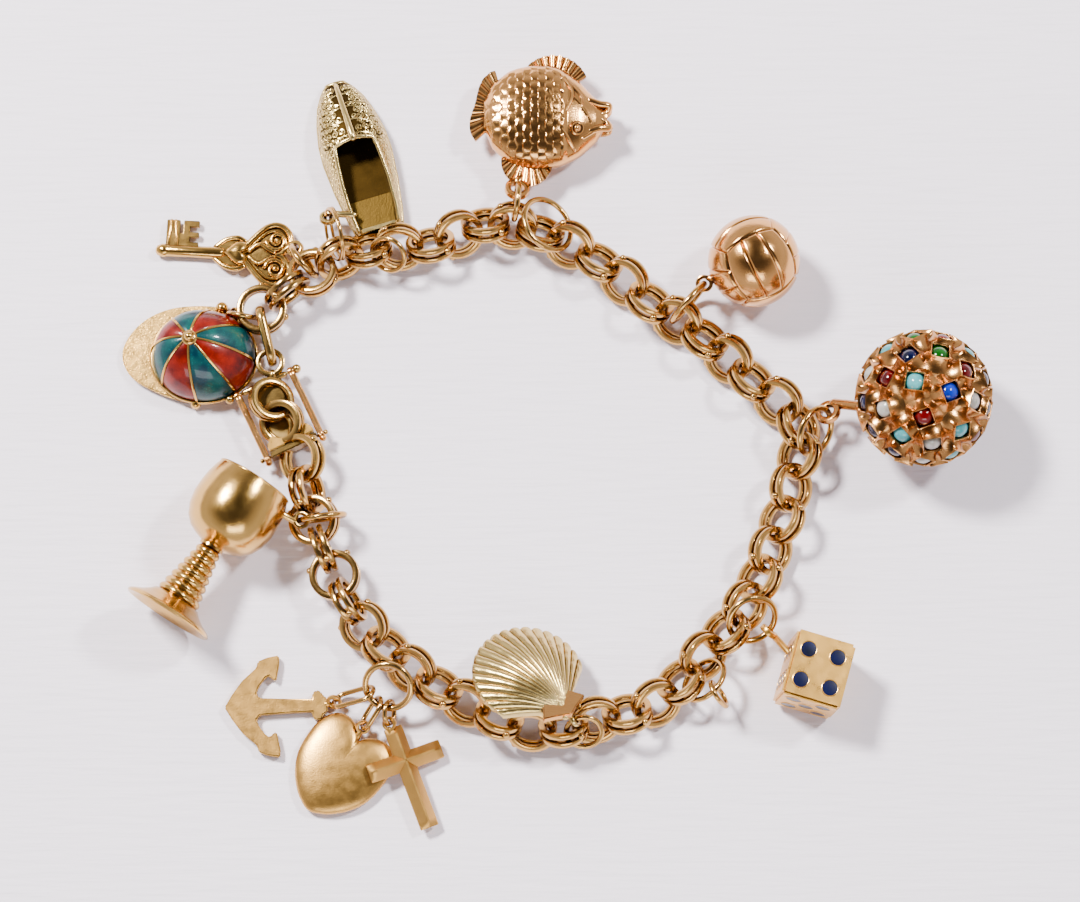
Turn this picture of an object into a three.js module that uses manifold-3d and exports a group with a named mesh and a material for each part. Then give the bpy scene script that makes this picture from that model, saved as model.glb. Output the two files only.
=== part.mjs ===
// A gold charm bracelet laid out on a table: a double-ring chain closed by a box clasp with two
// hinged safety bars, and twelve charms on jump rings.
// Millimetres; X to the right, Y away from the reader, Z up, the table at Z = 0.

import * as THREE from "three";
import { mergeVertices } from "three/addons/utils/BufferGeometryUtils.js";
import Module from "manifold-3d";

const wasm = await Module();
wasm.setup();

// ---------------------------------------------------------------- driving sizes

// The middle of the laid-out bracelet's box, which becomes the origin of X and Y.
const MIDDLE = { x: 1.6, y: 1.3 };

const CHAIN = {
  links: 46, // and one more on the clasp's tongue
  outer: 2.95, // outer radius of a link
  inner: 2.25, // radius of its hole
  width: 1.7, // along the link's own axis, two rings and the gap between them
  solder: 0.6, // thickness of the hidden joint between two links of a run
  runs: [6, 6, 6, 6, 6, 6, 5, 5],
};

// The line through the link centres, clockwise from the clasp: the first link, the third, and so on
// to the one on the clasp's tongue.
const ROUTE = [
  [-33, 16.5], [-27, 21], [-20.5, 24], [-13, 24.5], [-6.5, 27], [0, 26], [7, 22.5], [13, 17.5],
  [19.5, 13], [25, 8], [30.5, 2.5], [29.5, -5], [27, -12.5], [24, -19], [19, -25], [13.5, -30.5],
  [6.5, -32.5], [-1, -33.5], [-8.5, -30.5], [-15, -26.5], [-20.5, -21.5], [-24, -15.5],
  [-26.5, -9], [-28, -1.5],
];

// How far each even link leans outwards from upright; odd links lean the same plus a quarter turn.
const LEAN = [
  { link: 1, degrees: 0 }, { link: 2, degrees: 0 }, { link: 5, degrees: 45 },
  { link: 40, degrees: 45 }, { link: 43, degrees: 5 }, { link: 44, degrees: 5 },
  { link: 47, degrees: 40 },
];

const CLASP = {
  at: [-29.2, 0.5], // the end face of the box, where the tongue plate meets it
  turn: 25.5, // degrees anticlockwise from Y to the clasp's length
  length: 8.4,
  width: 5.7,
  height: 2.6,
  bodyWidth: 4.2,
  bodyHeight: 2,
  ringRadius: 2.55,
  plate: 0.8,
  gap: 0.12,
  eye: { across: 1.7, along: 9.95, outer: 1.7, hole: 1.15, thickness: 0.8 },
};

const SAFETY_BAR = {
  across: 3.47, // of its middle line from the clasp's
  hingeAlong: 8.0,
  catchAlong: -0.45,
  height: 2.1,
  width: 0.9,
  thickness: 0.45,
  pin: 0.2,
  clearance: 0.1,
  ball: 0.5,
};

// The jump rings on the chain: centre, the direction the hole faces, mean radius and wire radius.
const JUMP_RINGS = {
  key_jump_ring: { at: [-28.1, 22.5, 2.8], faces: [0.75, 0.6, 0.25], radius: 2.25, wire: 0.36 },
  slipper_jump_ring: { at: [-24.3, 25.4, 4.5], faces: [0.95, 0.25, -0.2], radius: 3.1, wire: 0.32 },
  small_jump_ring: { at: [-18, 22.9, 4.4], faces: [-0.4, -0.6, 0.69], radius: 2.11, wire: 0.3 },
  wide_jump_ring: { at: [0.9, 26.5, 4.7], faces: [0.56, 0.24, 0.8], radius: 3.32, wire: 0.34 },
  fish_jump_ring: { at: [-2.8, 29.2, 5], faces: [1, -0.1, -0.1], radius: 2.1, wire: 0.34 },
  ball_jump_ring: { at: [17.6, 17.2, 3.8], faces: [-0.75, 0.65, 0.05], radius: 2.9, wire: 0.38 },
  jewelled_ball_jump_ring: { at: [32.4, 1.5, 4], faces: [0.72, -0.4, 0.56], radius: 2.85, wire: 0.38 },
  die_jump_ring: { at: [24.7, -20.9, 4.1], faces: [0.3, -0.6, 0.74], radius: 2.85, wire: 0.38 },
  spare_jump_ring: { at: [19.1, -27.8, 2.6], faces: [-0.59, 0.45, 0.67], radius: 2.77, wire: 0.34 },
  shell_jump_ring: { at: [5.1, -34.1, 4.2], faces: [0, -0.68, 0.73], radius: 2.05, wire: 0.34 },
  cluster_jump_ring: { at: [-17.6, -28.8, 4.3], faces: [-0.19, -0.49, 0.85], radius: 2.72, wire: 0.4 },
  goblet_jump_ring: { at: [-25.5, -8.7, 3.5], faces: [-0.14, 0.98, 0.12], radius: 2.6, wire: 0.36 },
  cap_jump_ring: { at: [-35.3, 15.9, 2.5], faces: [0.17, 0.95, 0.2], radius: 1.7, wire: 0.3 },
};

// Drawn-out rings from another ring to a charm's eye: the place of the eye, the direction that the
// ring faces, its width and its wire's radius.
const HUNG_RINGS = [
  {
    name: "spare_small_ring", from: "spare_jump_ring", to: [21.6, -30.2, 2.2],
    faces: [0.45, 0.52, 0.72], width: 2.6, wire: 0.3,
  },
  {
    name: "anchor_jump_ring", from: "cluster_jump_ring", to: [-24, -30.2, 1.3],
    faces: [-0.37, 0.84, 0.8], width: 2.4, wire: 0.3,
  },
  {
    name: "heart_jump_ring", from: "cluster_jump_ring", to: [-20.6, -33.2, 1.7],
    faces: [-0.85, 0.52, 0.6], width: 2.4, wire: 0.3,
  },
  {
    name: "cross_jump_ring", from: "cluster_jump_ring", to: [-17.5, -32.9, 2.4],
    faces: [1, 0, 0.5], width: 2.4, wire: 0.3,
  },
];

// The eye of a charm, round the wire of its jump ring.
const EYE = { outer: 1.05, hole: 0.58, thickness: 0.7, neck: 0.42 };
const SMALL_EYE = { outer: 0.88, hole: 0.5, thickness: 0.5, neck: 0.35 };

// ---------------------------------------------------------------- materials

const METALS = {
  chain: 0xd9a066,
  clasp: 0xd9a066,
  rose: 0xe0a07a,
  yellow: 0xd8ab63,
  green: 0xcdb878,
  satin: 0xc79c5c,
};

function metal(tint) {
  return new THREE.MeshStandardMaterial({ color: METALS[tint], metalness: 1, roughness: 0.3 });
}

function enamel(colour) {
  return new THREE.MeshStandardMaterial({ color: colour, metalness: 0, roughness: 0.25 });
}

// ---------------------------------------------------------------- helpers

const bracelet = new THREE.Group();
bracelet.name = "charm_bracelet";

function vector(values) {
  return new THREE.Vector3(...values);
}

// Adds one solid, given as a geometry in the table's frame, as a node with its own material.
function addNode(name, geometry, material) {
  const mesh = new THREE.Mesh(geometry, material);
  mesh.name = name;
  mesh.position.set(-MIDDLE.x, -MIDDLE.y, 0);
  bracelet.add(mesh);
}

// A frame at a point with its z axis along `up` and its x axis as near as it can be to `right`.
function frameAt(at, up, right) {
  const z = vector(up).normalize();
  const y = new THREE.Vector3().crossVectors(z, vector(right)).normalize();
  const x = new THREE.Vector3().crossVectors(y, z);
  return new THREE.Matrix4().makeBasis(x, y, z).setPosition(...at);
}

// A frame lying level, its x axis turned by so many degrees from the table's.
function levelFrame(at, degrees) {
  const angle = THREE.MathUtils.degToRad(degrees);
  return frameAt(at, [0, 0, 1], [Math.cos(angle), Math.sin(angle), 0]);
}

function placed(geometry, frame) {
  return geometry.clone().applyMatrix4(frame);
}

function moved(geometry, x, y, z) {
  return geometry.clone().translate(x, y, z);
}

function toSolid(geometry) {
  const bare = new THREE.BufferGeometry();
  bare.setAttribute("position", geometry.getAttribute("position").clone());
  if (geometry.index) {
    bare.setIndex(geometry.index.clone());
  }
  const merged = mergeVertices(bare, 1e-4);
  return new wasm.Manifold(
    new wasm.Mesh({
      numProp: 3,
      vertProperties: merged.attributes.position.array,
      triVerts: new Uint32Array(merged.index.array),
    }),
  );
}

function toGeometry(solid) {
  const mesh = solid.getMesh();
  const geometry = new THREE.BufferGeometry();
  geometry.setAttribute("position", new THREE.BufferAttribute(mesh.vertProperties, 3));
  geometry.setIndex(new THREE.BufferAttribute(mesh.triVerts, 1));
  geometry.computeVertexNormals();
  return geometry;
}

// Metal soldered together: one solid from several.
function union(...geometries) {
  return toGeometry(wasm.Manifold.union(geometries.map(toSolid)));
}

function difference(geometry, ...tools) {
  return toGeometry(toSolid(geometry).subtract(wasm.Manifold.union(tools.map(toSolid))));
}

function intersection(geometry, tool) {
  return toGeometry(toSolid(geometry).intersect(toSolid(tool)));
}

// A solid skinned over loops of equally many points. A ring joins its last loop to its first;
// otherwise both ends are closed with a fan from the loop's middle.
function loft(loops, { ring = false } = {}) {
  const count = loops[0].length;
  const positions = loops.flat().flatMap((point) => point.toArray());
  const triangles = [];
  const bands = ring ? loops.length : loops.length - 1;
  for (let i = 0; i < bands; i += 1) {
    const low = i * count;
    const high = ((i + 1) % loops.length) * count;
    for (let j = 0; j < count; j += 1) {
      const next = (j + 1) % count;
      triangles.push(low + j, low + next, high + next);
      triangles.push(low + j, high + next, high + j);
    }
  }
  if (!ring) {
    const ends = [[loops[0], 0, true], [loops.at(-1), (loops.length - 1) * count, false]];
    for (const [loop, start, flip] of ends) {
      const middle = loop.reduce((sum, point) => sum.add(point), new THREE.Vector3());
      middle.divideScalar(count);
      const centre = positions.length / 3;
      positions.push(...middle.toArray());
      for (let j = 0; j < count; j += 1) {
        const next = (j + 1) % count;
        triangles.push(...(flip ? [centre, start + next, start + j] : [centre, start + j, start + next]));
      }
    }
  }
  const geometry = new THREE.BufferGeometry();
  geometry.setAttribute("position", new THREE.Float32BufferAttribute(positions, 3));
  geometry.setIndex(triangles);
  if (toSolid(geometry).volume() < 0) {
    for (let i = 0; i < triangles.length; i += 3) {
      [triangles[i + 1], triangles[i + 2]] = [triangles[i + 2], triangles[i + 1]];
    }
    geometry.setIndex(triangles);
  }
  geometry.computeVertexNormals();
  return geometry;
}

// A lathed solid about its z axis from a closed profile of [radius, height] points.
function lathe(profile, segments) {
  const points = [...profile, profile[0]].map(([radius, height]) => new THREE.Vector2(radius, height));
  const geometry = new THREE.LatheGeometry(points, segments).rotateX(Math.PI / 2);
  const solid = toSolid(geometry);
  if (solid.volume() > 0) {
    return toGeometry(solid);
  }
  return toGeometry(toSolid(new THREE.LatheGeometry(points.reverse(), segments).rotateX(Math.PI / 2)));
}

// A flat ring with a rectangular section, its hole along z.
function band(outer, inner, width, segments) {
  const half = width / 2;
  return lathe([[inner, -half], [outer, -half], [outer, half], [inner, half]], segments);
}

function wireRing(radius, wire, around = 14, section = 5) {
  return new THREE.TorusGeometry(radius, wire, section, around);
}

// A ring drawn out along x, its two long sides straight.
function ovalRing(length, width, wire) {
  const radius = width / 2;
  const reach = length / 2 - radius;
  const loops = [];
  for (let i = 0; i < 16; i += 1) {
    const angle = ((i + 0.5) / 16) * 2 * Math.PI;
    const outward = new THREE.Vector3(Math.cos(angle), Math.sin(angle), 0);
    const middle = outward.clone().multiplyScalar(radius);
    middle.x += Math.sign(outward.x) * reach;
    const loop = [];
    for (let j = 0; j < 6; j += 1) {
      const turn = (j / 6) * 2 * Math.PI;
      const point = middle.clone().addScaledVector(outward, wire * Math.cos(turn));
      point.z += wire * Math.sin(turn);
      loop.push(point);
    }
    loops.push(loop);
  }
  return loft(loops, { ring: true });
}

function ball(radius, across = 12, down = 8) {
  return new THREE.SphereGeometry(radius, across, down);
}

// A round bar between two points.
function rod(from, to, radius, segments = 8) {
  const start = vector(from);
  const axis = vector(to).sub(start);
  const bar = new THREE.CylinderGeometry(radius, radius, axis.length(), segments);
  bar.rotateX(Math.PI / 2).translate(0, 0, axis.length() / 2);
  const right = Math.abs(axis.clone().normalize().x) > 0.9 ? [0, 1, 0] : [1, 0, 0];
  return placed(bar, frameAt(from, axis.toArray(), right));
}

function block(x, y, z) {
  return new THREE.BoxGeometry(x, y, z);
}

function circle(radius, count) {
  const points = [];
  for (let i = 0; i < count; i += 1) {
    const angle = (i / count) * 2 * Math.PI;
    points.push([radius * Math.cos(angle), radius * Math.sin(angle)]);
  }
  return points;
}

// A plate of an outline of [x, y] points, from z = 0 up to its thickness.
function plate(outline, thickness, holes = []) {
  const shape = new THREE.Shape(outline.map(([x, y]) => new THREE.Vector2(x, y)));
  for (const { x, y, radius } of holes) {
    shape.holes.push(new THREE.Path(circle(radius, 10).map(([dx, dy]) => new THREE.Vector2(x + dx, y + dy))));
  }
  return new THREE.ExtrudeGeometry(shape, { depth: thickness, bevelEnabled: false });
}

// The outline of a heart with its point at -y: two lobes and straight-ish flanks.
function heartOutline(width, height, count) {
  const points = [];
  for (let i = 0; i < count; i += 1) {
    const t = (i / count) * 2 * Math.PI;
    const x = Math.sin(t) ** 3;
    const y = (13 * Math.cos(t) - 5 * Math.cos(2 * t) - 2 * Math.cos(3 * t) - Math.cos(4 * t)) / 29;
    points.push([(x * width) / 2, y * height]);
  }
  return points;
}

// A cushion-shaped solid: one outline shrunk by the scale of each row at the row's height.
function cushion(outline, rows) {
  return loft(rows.map(({ scale, z }) => (
    outline.map(([x, y]) => new THREE.Vector3(x * scale, y * scale, z))
  )));
}

// ---------------------------------------------------------------- jump rings and eyes

const rings = new Map();

// The point of a ring's wire nearest to a place, the direction out from the ring there and the
// direction of the wire.
function wirePoint(ring, towards) {
  if (ring.end) {
    return { point: ring.end.clone(), outward: ring.outward.clone(), along: ring.along.clone() };
  }
  const faces = vector(ring.faces).normalize();
  const outward = vector(towards).sub(vector(ring.at)).projectOnPlane(faces).normalize();
  const point = vector(ring.at).addScaledVector(outward, ring.radius);
  return { point, outward, along: new THREE.Vector3().crossVectors(faces, outward) };
}

function addRing(name, ring) {
  rings.set(name, ring);
  const right = Math.abs(ring.faces[0]) > 0.8 ? [0, 1, 0] : [1, 0, 0];
  const solid = wireRing(ring.radius, ring.wire);
  addNode(name, placed(solid, frameAt(ring.at, ring.faces, right)), metal("chain"));
}

function addJumpRings() {
  for (const [name, ring] of Object.entries(JUMP_RINGS)) {
    addRing(name, ring);
  }
  for (const row of HUNG_RINGS) {
    addHungRing(row);
  }
}

// A drawn-out ring round its parent's wire at one end and through the charm's eye at the other.
function addHungRing({ name, from, to, faces, width, wire }) {
  const parent = rings.get(from);
  const { point } = wirePoint(parent, to);
  const end = vector(to);
  const outward = end.clone().sub(point).normalize();
  const start = point.addScaledVector(outward, -(parent.wire + wire + 0.1));
  const middle = start.clone().add(end).multiplyScalar(0.5);
  const frame = frameAt(middle.toArray(), vector(faces).projectOnPlane(outward).toArray(), outward.toArray());
  const along = new THREE.Vector3().setFromMatrixColumn(frame, 1);
  rings.set(name, { end, outward, along, wire });
  addNode(name, placed(ovalRing(start.distanceTo(end) + 0.001, width, wire), frame), metal("chain"));
}

// A charm's eye round its ring's wire, with a neck to a point inside the charm.
function eyeOn(ringName, inside, size = EYE) {
  const { point, outward, along } = wirePoint(rings.get(ringName), inside);
  const right = Math.abs(along.x) > 0.8 ? [0, 1, 0] : [1, 0, 0];
  const loop = band(size.outer, size.hole, size.thickness, 12);
  const eye = placed(loop, frameAt(point.toArray(), along.toArray(), right));
  const root = point.clone().addScaledVector(outward, size.outer - 0.2);
  return union(eye, rod(root.toArray(), inside, size.neck));
}

// ---------------------------------------------------------------- the chain

// Linear interpolation in a table of rows with the key `link`.
function leanOf(link) {
  const after = LEAN.findIndex((row) => row.link >= link);
  if (after <= 0) {
    return LEAN[0].degrees;
  }
  const [low, high] = [LEAN[after - 1], LEAN[after]];
  const share = (link - low.link) / (high.link - low.link);
  return low.degrees + share * (high.degrees - low.degrees);
}

const route = new THREE.CatmullRomCurve3(
  ROUTE.map(([x, y]) => new THREE.Vector3(x, y, 0)),
  false,
  "catmullrom",
);

// A link stands on its lowest edge, so it is a little lower where the chain leans over more.
function linkCentre(link) {
  const lean = THREE.MathUtils.degToRad(leanOf(link));
  const rest = CHAIN.outer * Math.cos(lean) + (CHAIN.width / 2) * Math.sin(lean);
  return route.getPoint((link - 1) / CHAIN.links).setZ(rest + 0.03);
}

// A link's frame: x along the chain, y to its uppermost edge, z along the axis of its hole.
function linkFrame(link) {
  const along = route.getTangent((link - 1) / CHAIN.links);
  const outward = new THREE.Vector3(-along.y, along.x, 0);
  const lean = THREE.MathUtils.degToRad(leanOf(link) - (link % 2 === 0 ? 0 : 90));
  const edge = new THREE.Vector3(0, 0, Math.cos(lean)).addScaledVector(outward, Math.sin(lean));
  const axis = new THREE.Vector3().crossVectors(along, edge);
  return new THREE.Matrix4().makeBasis(along, edge, axis).setPosition(linkCentre(link));
}

// The hidden joint between the inner faces of two neighbouring links.
function linkJoint(link) {
  const from = linkCentre(link);
  const to = linkCentre(link + 1);
  const middle = from.clone().add(to).multiplyScalar(0.5);
  const along = to.clone().sub(from);
  const reach = (2 * CHAIN.inner - along.length()) / 2 + 0.25;
  along.setLength(reach);
  return rod(middle.clone().sub(along).toArray(), middle.clone().add(along).toArray(), CHAIN.solder / 2, 3);
}

function addChain() {
  const link = band(CHAIN.outer, CHAIN.inner, CHAIN.width, 12);
  let first = 1;
  CHAIN.runs.forEach((count, index) => {
    const pieces = [];
    for (let number = first; number < first + count; number += 1) {
      pieces.push(placed(link, linkFrame(number)));
      if (number > first) {
        pieces.push(linkJoint(number - 1));
      }
    }
    addNode(`chain_run_${index + 1}`, union(...pieces), metal("chain"));
    first += count;
  });
}

// ---------------------------------------------------------------- the clasp

// The clasp's frame: x across, y along it away from the tongue, z up.
function claspFrame() {
  return levelFrame([...CLASP.at, 0], CLASP.turn);
}

function hingePin(side, along, length) {
  const start = (CLASP.width / 2 - 0.2) * side;
  const end = length * side;
  const pin = rod([start, along, SAFETY_BAR.height], [end, along, SAFETY_BAR.height], SAFETY_BAR.pin);
  return union(pin, moved(ball(SAFETY_BAR.ball), end, along, SAFETY_BAR.height));
}

function addClaspBox() {
  const { length, width, height, bodyWidth, bodyHeight, ringRadius, gap, eye } = CLASP;
  const body = moved(block(bodyWidth, length, bodyHeight), 0, gap + length / 2, bodyHeight / 2 + 0.05);
  const endBar = moved(block(width, 0.9, height), 0, gap + 0.45, height / 2 + 0.25);
  const barEnd = (side) => [side * width / 2, SAFETY_BAR.hingeAlong, SAFETY_BAR.height];
  const hingeBar = rod(barEnd(-1), barEnd(1), 0.4);
  const ring = band(ringRadius, ringRadius - 0.8, 1.5, 16);
  const upperAt = [-0.15, length - ringRadius + 0.1, height + 0.15];
  const upper = placed(ring, frameAt(upperAt, [0.35, 0, 1], [1, 0, 0]));
  const lower = placed(ring, frameAt([0.15, ringRadius + 0.3, height + 0.15], [-0.35, 0, 1], [1, 0, 0]));
  const eyeRing = moved(band(eye.outer, eye.hole, eye.thickness, 12), eye.across, eye.along, height - 0.3);
  const neck = moved(block(1.4, 0.9, 0.8), eye.across - 0.6, length + gap, height - 0.3);
  const pinEnd = SAFETY_BAR.across + SAFETY_BAR.width / 2 + SAFETY_BAR.ball + 0.08;
  const pins = [1, -1].map((side) => hingePin(side, SAFETY_BAR.hingeAlong, pinEnd));
  const box = union(body, endBar, hingeBar, upper, lower, eyeRing, neck, ...pins);
  addNode("clasp_box", placed(box, claspFrame()), metal("clasp"));
}

// The tongue's end plate with the last double ring soldered to it and a catch pin on each side.
function addClaspTongue() {
  const { width, height, plate: thick } = CLASP;
  const end = moved(block(width + 0.2, thick, height + 0.9), 0, -thick / 2, (height + 0.9) / 2 + 0.2);
  const ring = placed(band(CHAIN.outer, CHAIN.inner, CHAIN.width, 12), linkFrame(CHAIN.links + 1));
  const beyond = placed(moved(block(12, 8, 12), 0, 4 - thick / 2, 0), claspFrame());
  const lastLink = difference(ring, beyond);
  const pinEnd = SAFETY_BAR.across + SAFETY_BAR.width / 2 + SAFETY_BAR.ball + 0.08;
  const pins = [1, -1].map((side) => hingePin(side, SAFETY_BAR.catchAlong, pinEnd));
  const tongue = placed(union(end, ...pins), claspFrame());
  addNode("clasp_tongue", union(tongue, lastLink), metal("clasp"));
}

// A safety bar: a flat hairpin with an eye round the hinge pin and a saddle that drops over the catch.
function addSafetyBar(name, side) {
  const { across, hingeAlong, catchAlong, height, width, thickness, pin, clearance } = SAFETY_BAR;
  const hole = pin + clearance;
  const boss = hole + 0.3;
  const length = hingeAlong - catchAlong;
  const outline = [
    [length + boss, 0], [length + boss * 0.7, boss * 0.7], [length, boss], [length - boss * 0.7, boss],
    [0.6, boss], [0, boss], [-boss * 0.7, boss * 0.7], [-boss, 0], [-boss, -0.25], [-hole, -0.25],
    [-hole, 0.1], [0, hole], [hole, 0.1], [hole, -0.25], [boss, -0.25],
    [boss + 0.15, boss - thickness], [length - boss, boss - thickness], [length - boss * 0.8, -boss * 0.6],
    [length, -boss], [length + boss * 0.7, -boss * 0.7],
  ];
  const profile = plate(outline.reverse(), width, [{ x: length, y: 0, radius: hole }]);
  const slot = moved(block(length - 2.4, 2, 0.22), length / 2, 0, width / 2);
  const bar = difference(profile, slot);
  const lying = frameAt(
    [across * side - width / 2, catchAlong, height],
    [1, 0, 0],
    [0, 1, 0],
  );
  addNode(name, placed(placed(bar, lying), claspFrame()), metal("clasp"));
}

function addConnectingLink() {
  const { at, turn, eye, height } = CLASP;
  const clasp = claspFrame();
  const inEye = new THREE.Vector3(eye.across, eye.along, height - 0.3).applyMatrix4(clasp);
  const inLink = linkCentre(1);
  const middle = inEye.clone().add(inLink).multiplyScalar(0.5);
  const along = inLink.clone().sub(inEye);
  const oval = ovalRing(along.length() + 0.1, 3, 0.38);
  const upright = frameAt(middle.toArray(), [1, 0.25, 0], along.toArray());
  addNode("connecting_link", placed(oval, upright), metal("clasp"));
}

// ---------------------------------------------------------------- charms

function addKey() {
  const bow = heartOutline(8, 7.2, 24).map(([x, y]) => [y, x]).reverse();
  const head = cushion(bow, [
    { scale: 0.9, z: 0.1 }, { scale: 1, z: 0.5 }, { scale: 1, z: 1.3 }, { scale: 0.86, z: 1.7 },
  ]);
  const bud = plate([[-6.2, -0.8], [-4.6, -1.9], [-2.6, -1.6], [-2.6, 1.6], [-4.6, 1.9], [-6.2, 0.8]], 1.4);
  const shaft = rod([-12.4, 0, 0.85], [-5.6, 0, 0.85], 0.75);
  const bit = plate(
    [
      [-12.1, 0.3], [-8.3, 0.3], [-8.3, 1.2], [-9.6, 1.2], [-9.6, 1.8], [-8.3, 1.8], [-8.3, 2.4],
      [-9.6, 2.4], [-9.6, 3.1], [-8.3, 3.1], [-8.3, 3.8], [-12.1, 3.8],
    ],
    0.9,
  );
  const key = union(head, moved(bud, 0, 0, 0.1), shaft, moved(bit, 0, 0, 0.3));
  const eye = eyeOn("key_jump_ring", [-31.2, 23.6, 1]);
  addNode("key", union(placed(key, levelFrame([-32.6, 23.7, 0], -3)), eye), metal("yellow"));
}

// The slipper's half-widths and heights from toe to heel, along its sole.
const SLIPPER = {
  toe: [-24.7, 44.9],
  heel: [-19.2, 27.0],
  floor: 0.8,
  wall: 0.45,
  sections: [
    { along: 0, half: 0.5, height: 1.2 },
    { along: 0.06, half: 1.7, height: 2.2 },
    { along: 0.2, half: 3.1, height: 3.6 },
    { along: 0.38, half: 3.9, height: 4.6 },
    { along: 0.5, half: 4.1, height: 5.0 },
    { along: 0.7, half: 3.7, height: 4.2 },
    { along: 0.9, half: 3.0, height: 3.2 },
    { along: 1, half: 2.6, height: 2.8 },
  ],
};

function slipperLoops(inset, floor) {
  const { toe, heel, sections } = SLIPPER;
  const length = Math.hypot(heel[0] - toe[0], heel[1] - toe[1]);
  return sections.map((row) => {
    const half = Math.max(row.half - inset, 0.2);
    const top = Math.max(row.height - inset, floor + 0.2);
    const loop = [];
    for (let i = 0; i <= 8; i += 1) {
      const angle = (i / 8) * Math.PI;
      loop.push(new THREE.Vector3(
        half * Math.cos(angle), row.along * length, floor + (top - floor) * Math.sin(angle) ** 0.6));
    }
    loop.push(new THREE.Vector3(-half * 0.6, row.along * length, floor));
    loop.push(new THREE.Vector3(half * 0.6, row.along * length, floor));
    return loop;
  });
}

function addSlipper() {
  const { toe, heel, wall, floor } = SLIPPER;
  const length = Math.hypot(heel[0] - toe[0], heel[1] - toe[1]);
  const outer = loft(slipperLoops(0, 0.05));
  const inside = loft(slipperLoops(wall, floor));
  const mouth = moved(block(5, length * 0.62, 6), 0, length * 0.76, floor + 3);
  const hollow = intersection(inside, moved(block(12, length * 1.9, 12), 0, length * 0.05, 6));
  const body = difference(outer, hollow, mouth);
  const ridge = rod([0, 1.0, 2.2], [0, length * 0.44, 4.9], 0.45);
  const frame = frameAt([...toe, 0], [0, 0, 1], [heel[1] - toe[1], toe[0] - heel[0], 0]);
  const eye = eyeOn("slipper_jump_ring", [-22.2, 28.3, 2.4]);
  addNode("slipper", union(placed(union(body, ridge), frame), eye), metal("green"));
}

function addFish() {
  const body = ball(1, 20, 14).scale(7.4, 6.5, 3.2);
  const tailOutline = [
    [-6.2, -1.6], [-7.0, -2.6], [-9.2, -1.4], [-8.6, 1.4], [-8.4, 4.4], [-6.6, 6.0], [-5.4, 5.4],
  ];
  const tail = plate(tailOutline, 1);
  const back = plate([[-2.4, 5.4], [-2.4, 6.9], [-0.2, 7.9], [1.9, 7.6], [3.7, 6.4], [4.2, 4.6]], 1);
  const belly = plate([[-4.6, -4.2], [-5.1, -5.5], [-3.8, -7.8], [-1.2, -8.7], [1.2, -6.5], [1, -5.6]], 1);
  const mouth = moved(ball(1, 10, 8).scale(1.5, 1.4, 1.2), 6.6, 0.2, 0);
  const fins = [moved(tail, 0, 0, -0.8), moved(back, 0, 0, -0.5), moved(belly, 0, 0, -0.9)];
  const fish = moved(union(body, ...fins, mouth), 0.7, 39.9, 3.25);
  const eye = eyeOn("fish_jump_ring", [-2, 32.8, 2.9], { outer: 1.5, hole: 0.8, thickness: 0.8, neck: 0.6 });
  addNode("fish", union(fish, eye), metal("rose"));
}

function addBalls() {
  const volleyballEye = eyeOn("ball_jump_ring", [22, 19.5, 5]);
  const volleyball = union(moved(ball(5.45, 18, 12), 25.3, 21.8, 5.5), volleyballEye);
  addNode("ball", volleyball, metal("rose"));
  const paved = moved(ball(7.95, 24, 16), 44.8, 4.6, 8.05);
  const largeEye = { outer: 1.5, hole: 0.8, thickness: 0.8, neck: 0.6 };
  const jewelledEye = eyeOn("jewelled_ball_jump_ring", [40, 3.6, 7], largeEye);
  addNode("jewelled_ball", union(paved, jewelledEye), metal("yellow"));
}

function addDie() {
  const cube = moved(block(7.0, 7.9, 7.3), 0, 0, 4.1);
  const frame = frameAt([31.4, -27.5, 0.1], [0.1, 0.03, 1], [1, -0.28, 0]);
  addNode("die", union(placed(cube, frame), eyeOn("die_jump_ring", [29.5, -25.5, 4.2])), metal("yellow"));
}

const SHELL = {
  hinge: [2.9, -32.6, 6.8],
  turn: 124, // degrees from X to its middle rib
  droop: 29, // degrees that it falls from the chain into the bracelet's loop
  droopTurn: 76, // degrees from X to the direction it falls in
  radius: 13.2,
  spread: 56, // degrees from the middle rib to an outermost one
  ribs: 13,
  dome: 2.6,
  thickness: 0.7,
};

function addShell() {
  const { hinge, turn, droop, droopTurn, radius, spread, ribs, dome, thickness } = SHELL;
  const loops = [];
  const columns = ribs * 2;
  for (let i = 0; i <= columns; i += 1) {
    const across = (2 * i) / columns - 1;
    const angle = THREE.MathUtils.degToRad(across * spread);
    const reach = radius * (1 - 0.46 * across ** 2);
    const ridge = i % 2 === 0 ? 0 : 0.28;
    const outer = [];
    const under = [];
    for (let j = 0; j <= 5; j += 1) {
      const out = 0.06 + 0.94 * (j / 5);
      const swell = dome * Math.sin(Math.PI * (0.15 + 0.75 * out)) * (1 - 0.75 * across ** 2) + ridge * out;
      const flat = new THREE.Vector3(reach * out * Math.cos(angle), reach * out * Math.sin(angle), swell);
      outer.push(flat);
      under.unshift(flat.clone().setZ(swell - thickness));
    }
    loops.push([...outer, ...under]);
  }
  const fan = loft(loops);
  const ears = moved(block(1.6, 5.4, 1.0), 0.5, 0, 0.9);
  const tilt = THREE.MathUtils.degToRad(droop);
  const fall = THREE.MathUtils.degToRad(droopTurn);
  const angle = THREE.MathUtils.degToRad(turn);
  const up = [Math.cos(fall) * Math.sin(tilt), Math.sin(fall) * Math.sin(tilt), Math.cos(tilt)];
  const frame = frameAt(hinge, up, [Math.cos(angle), Math.sin(angle), 0]);
  const eye = eyeOn("shell_jump_ring", [hinge[0], hinge[1] - 0.3, hinge[2] + 1], SMALL_EYE);
  addNode("shell", union(placed(union(fan, ears), frame), eye), metal("green"));
}

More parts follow.
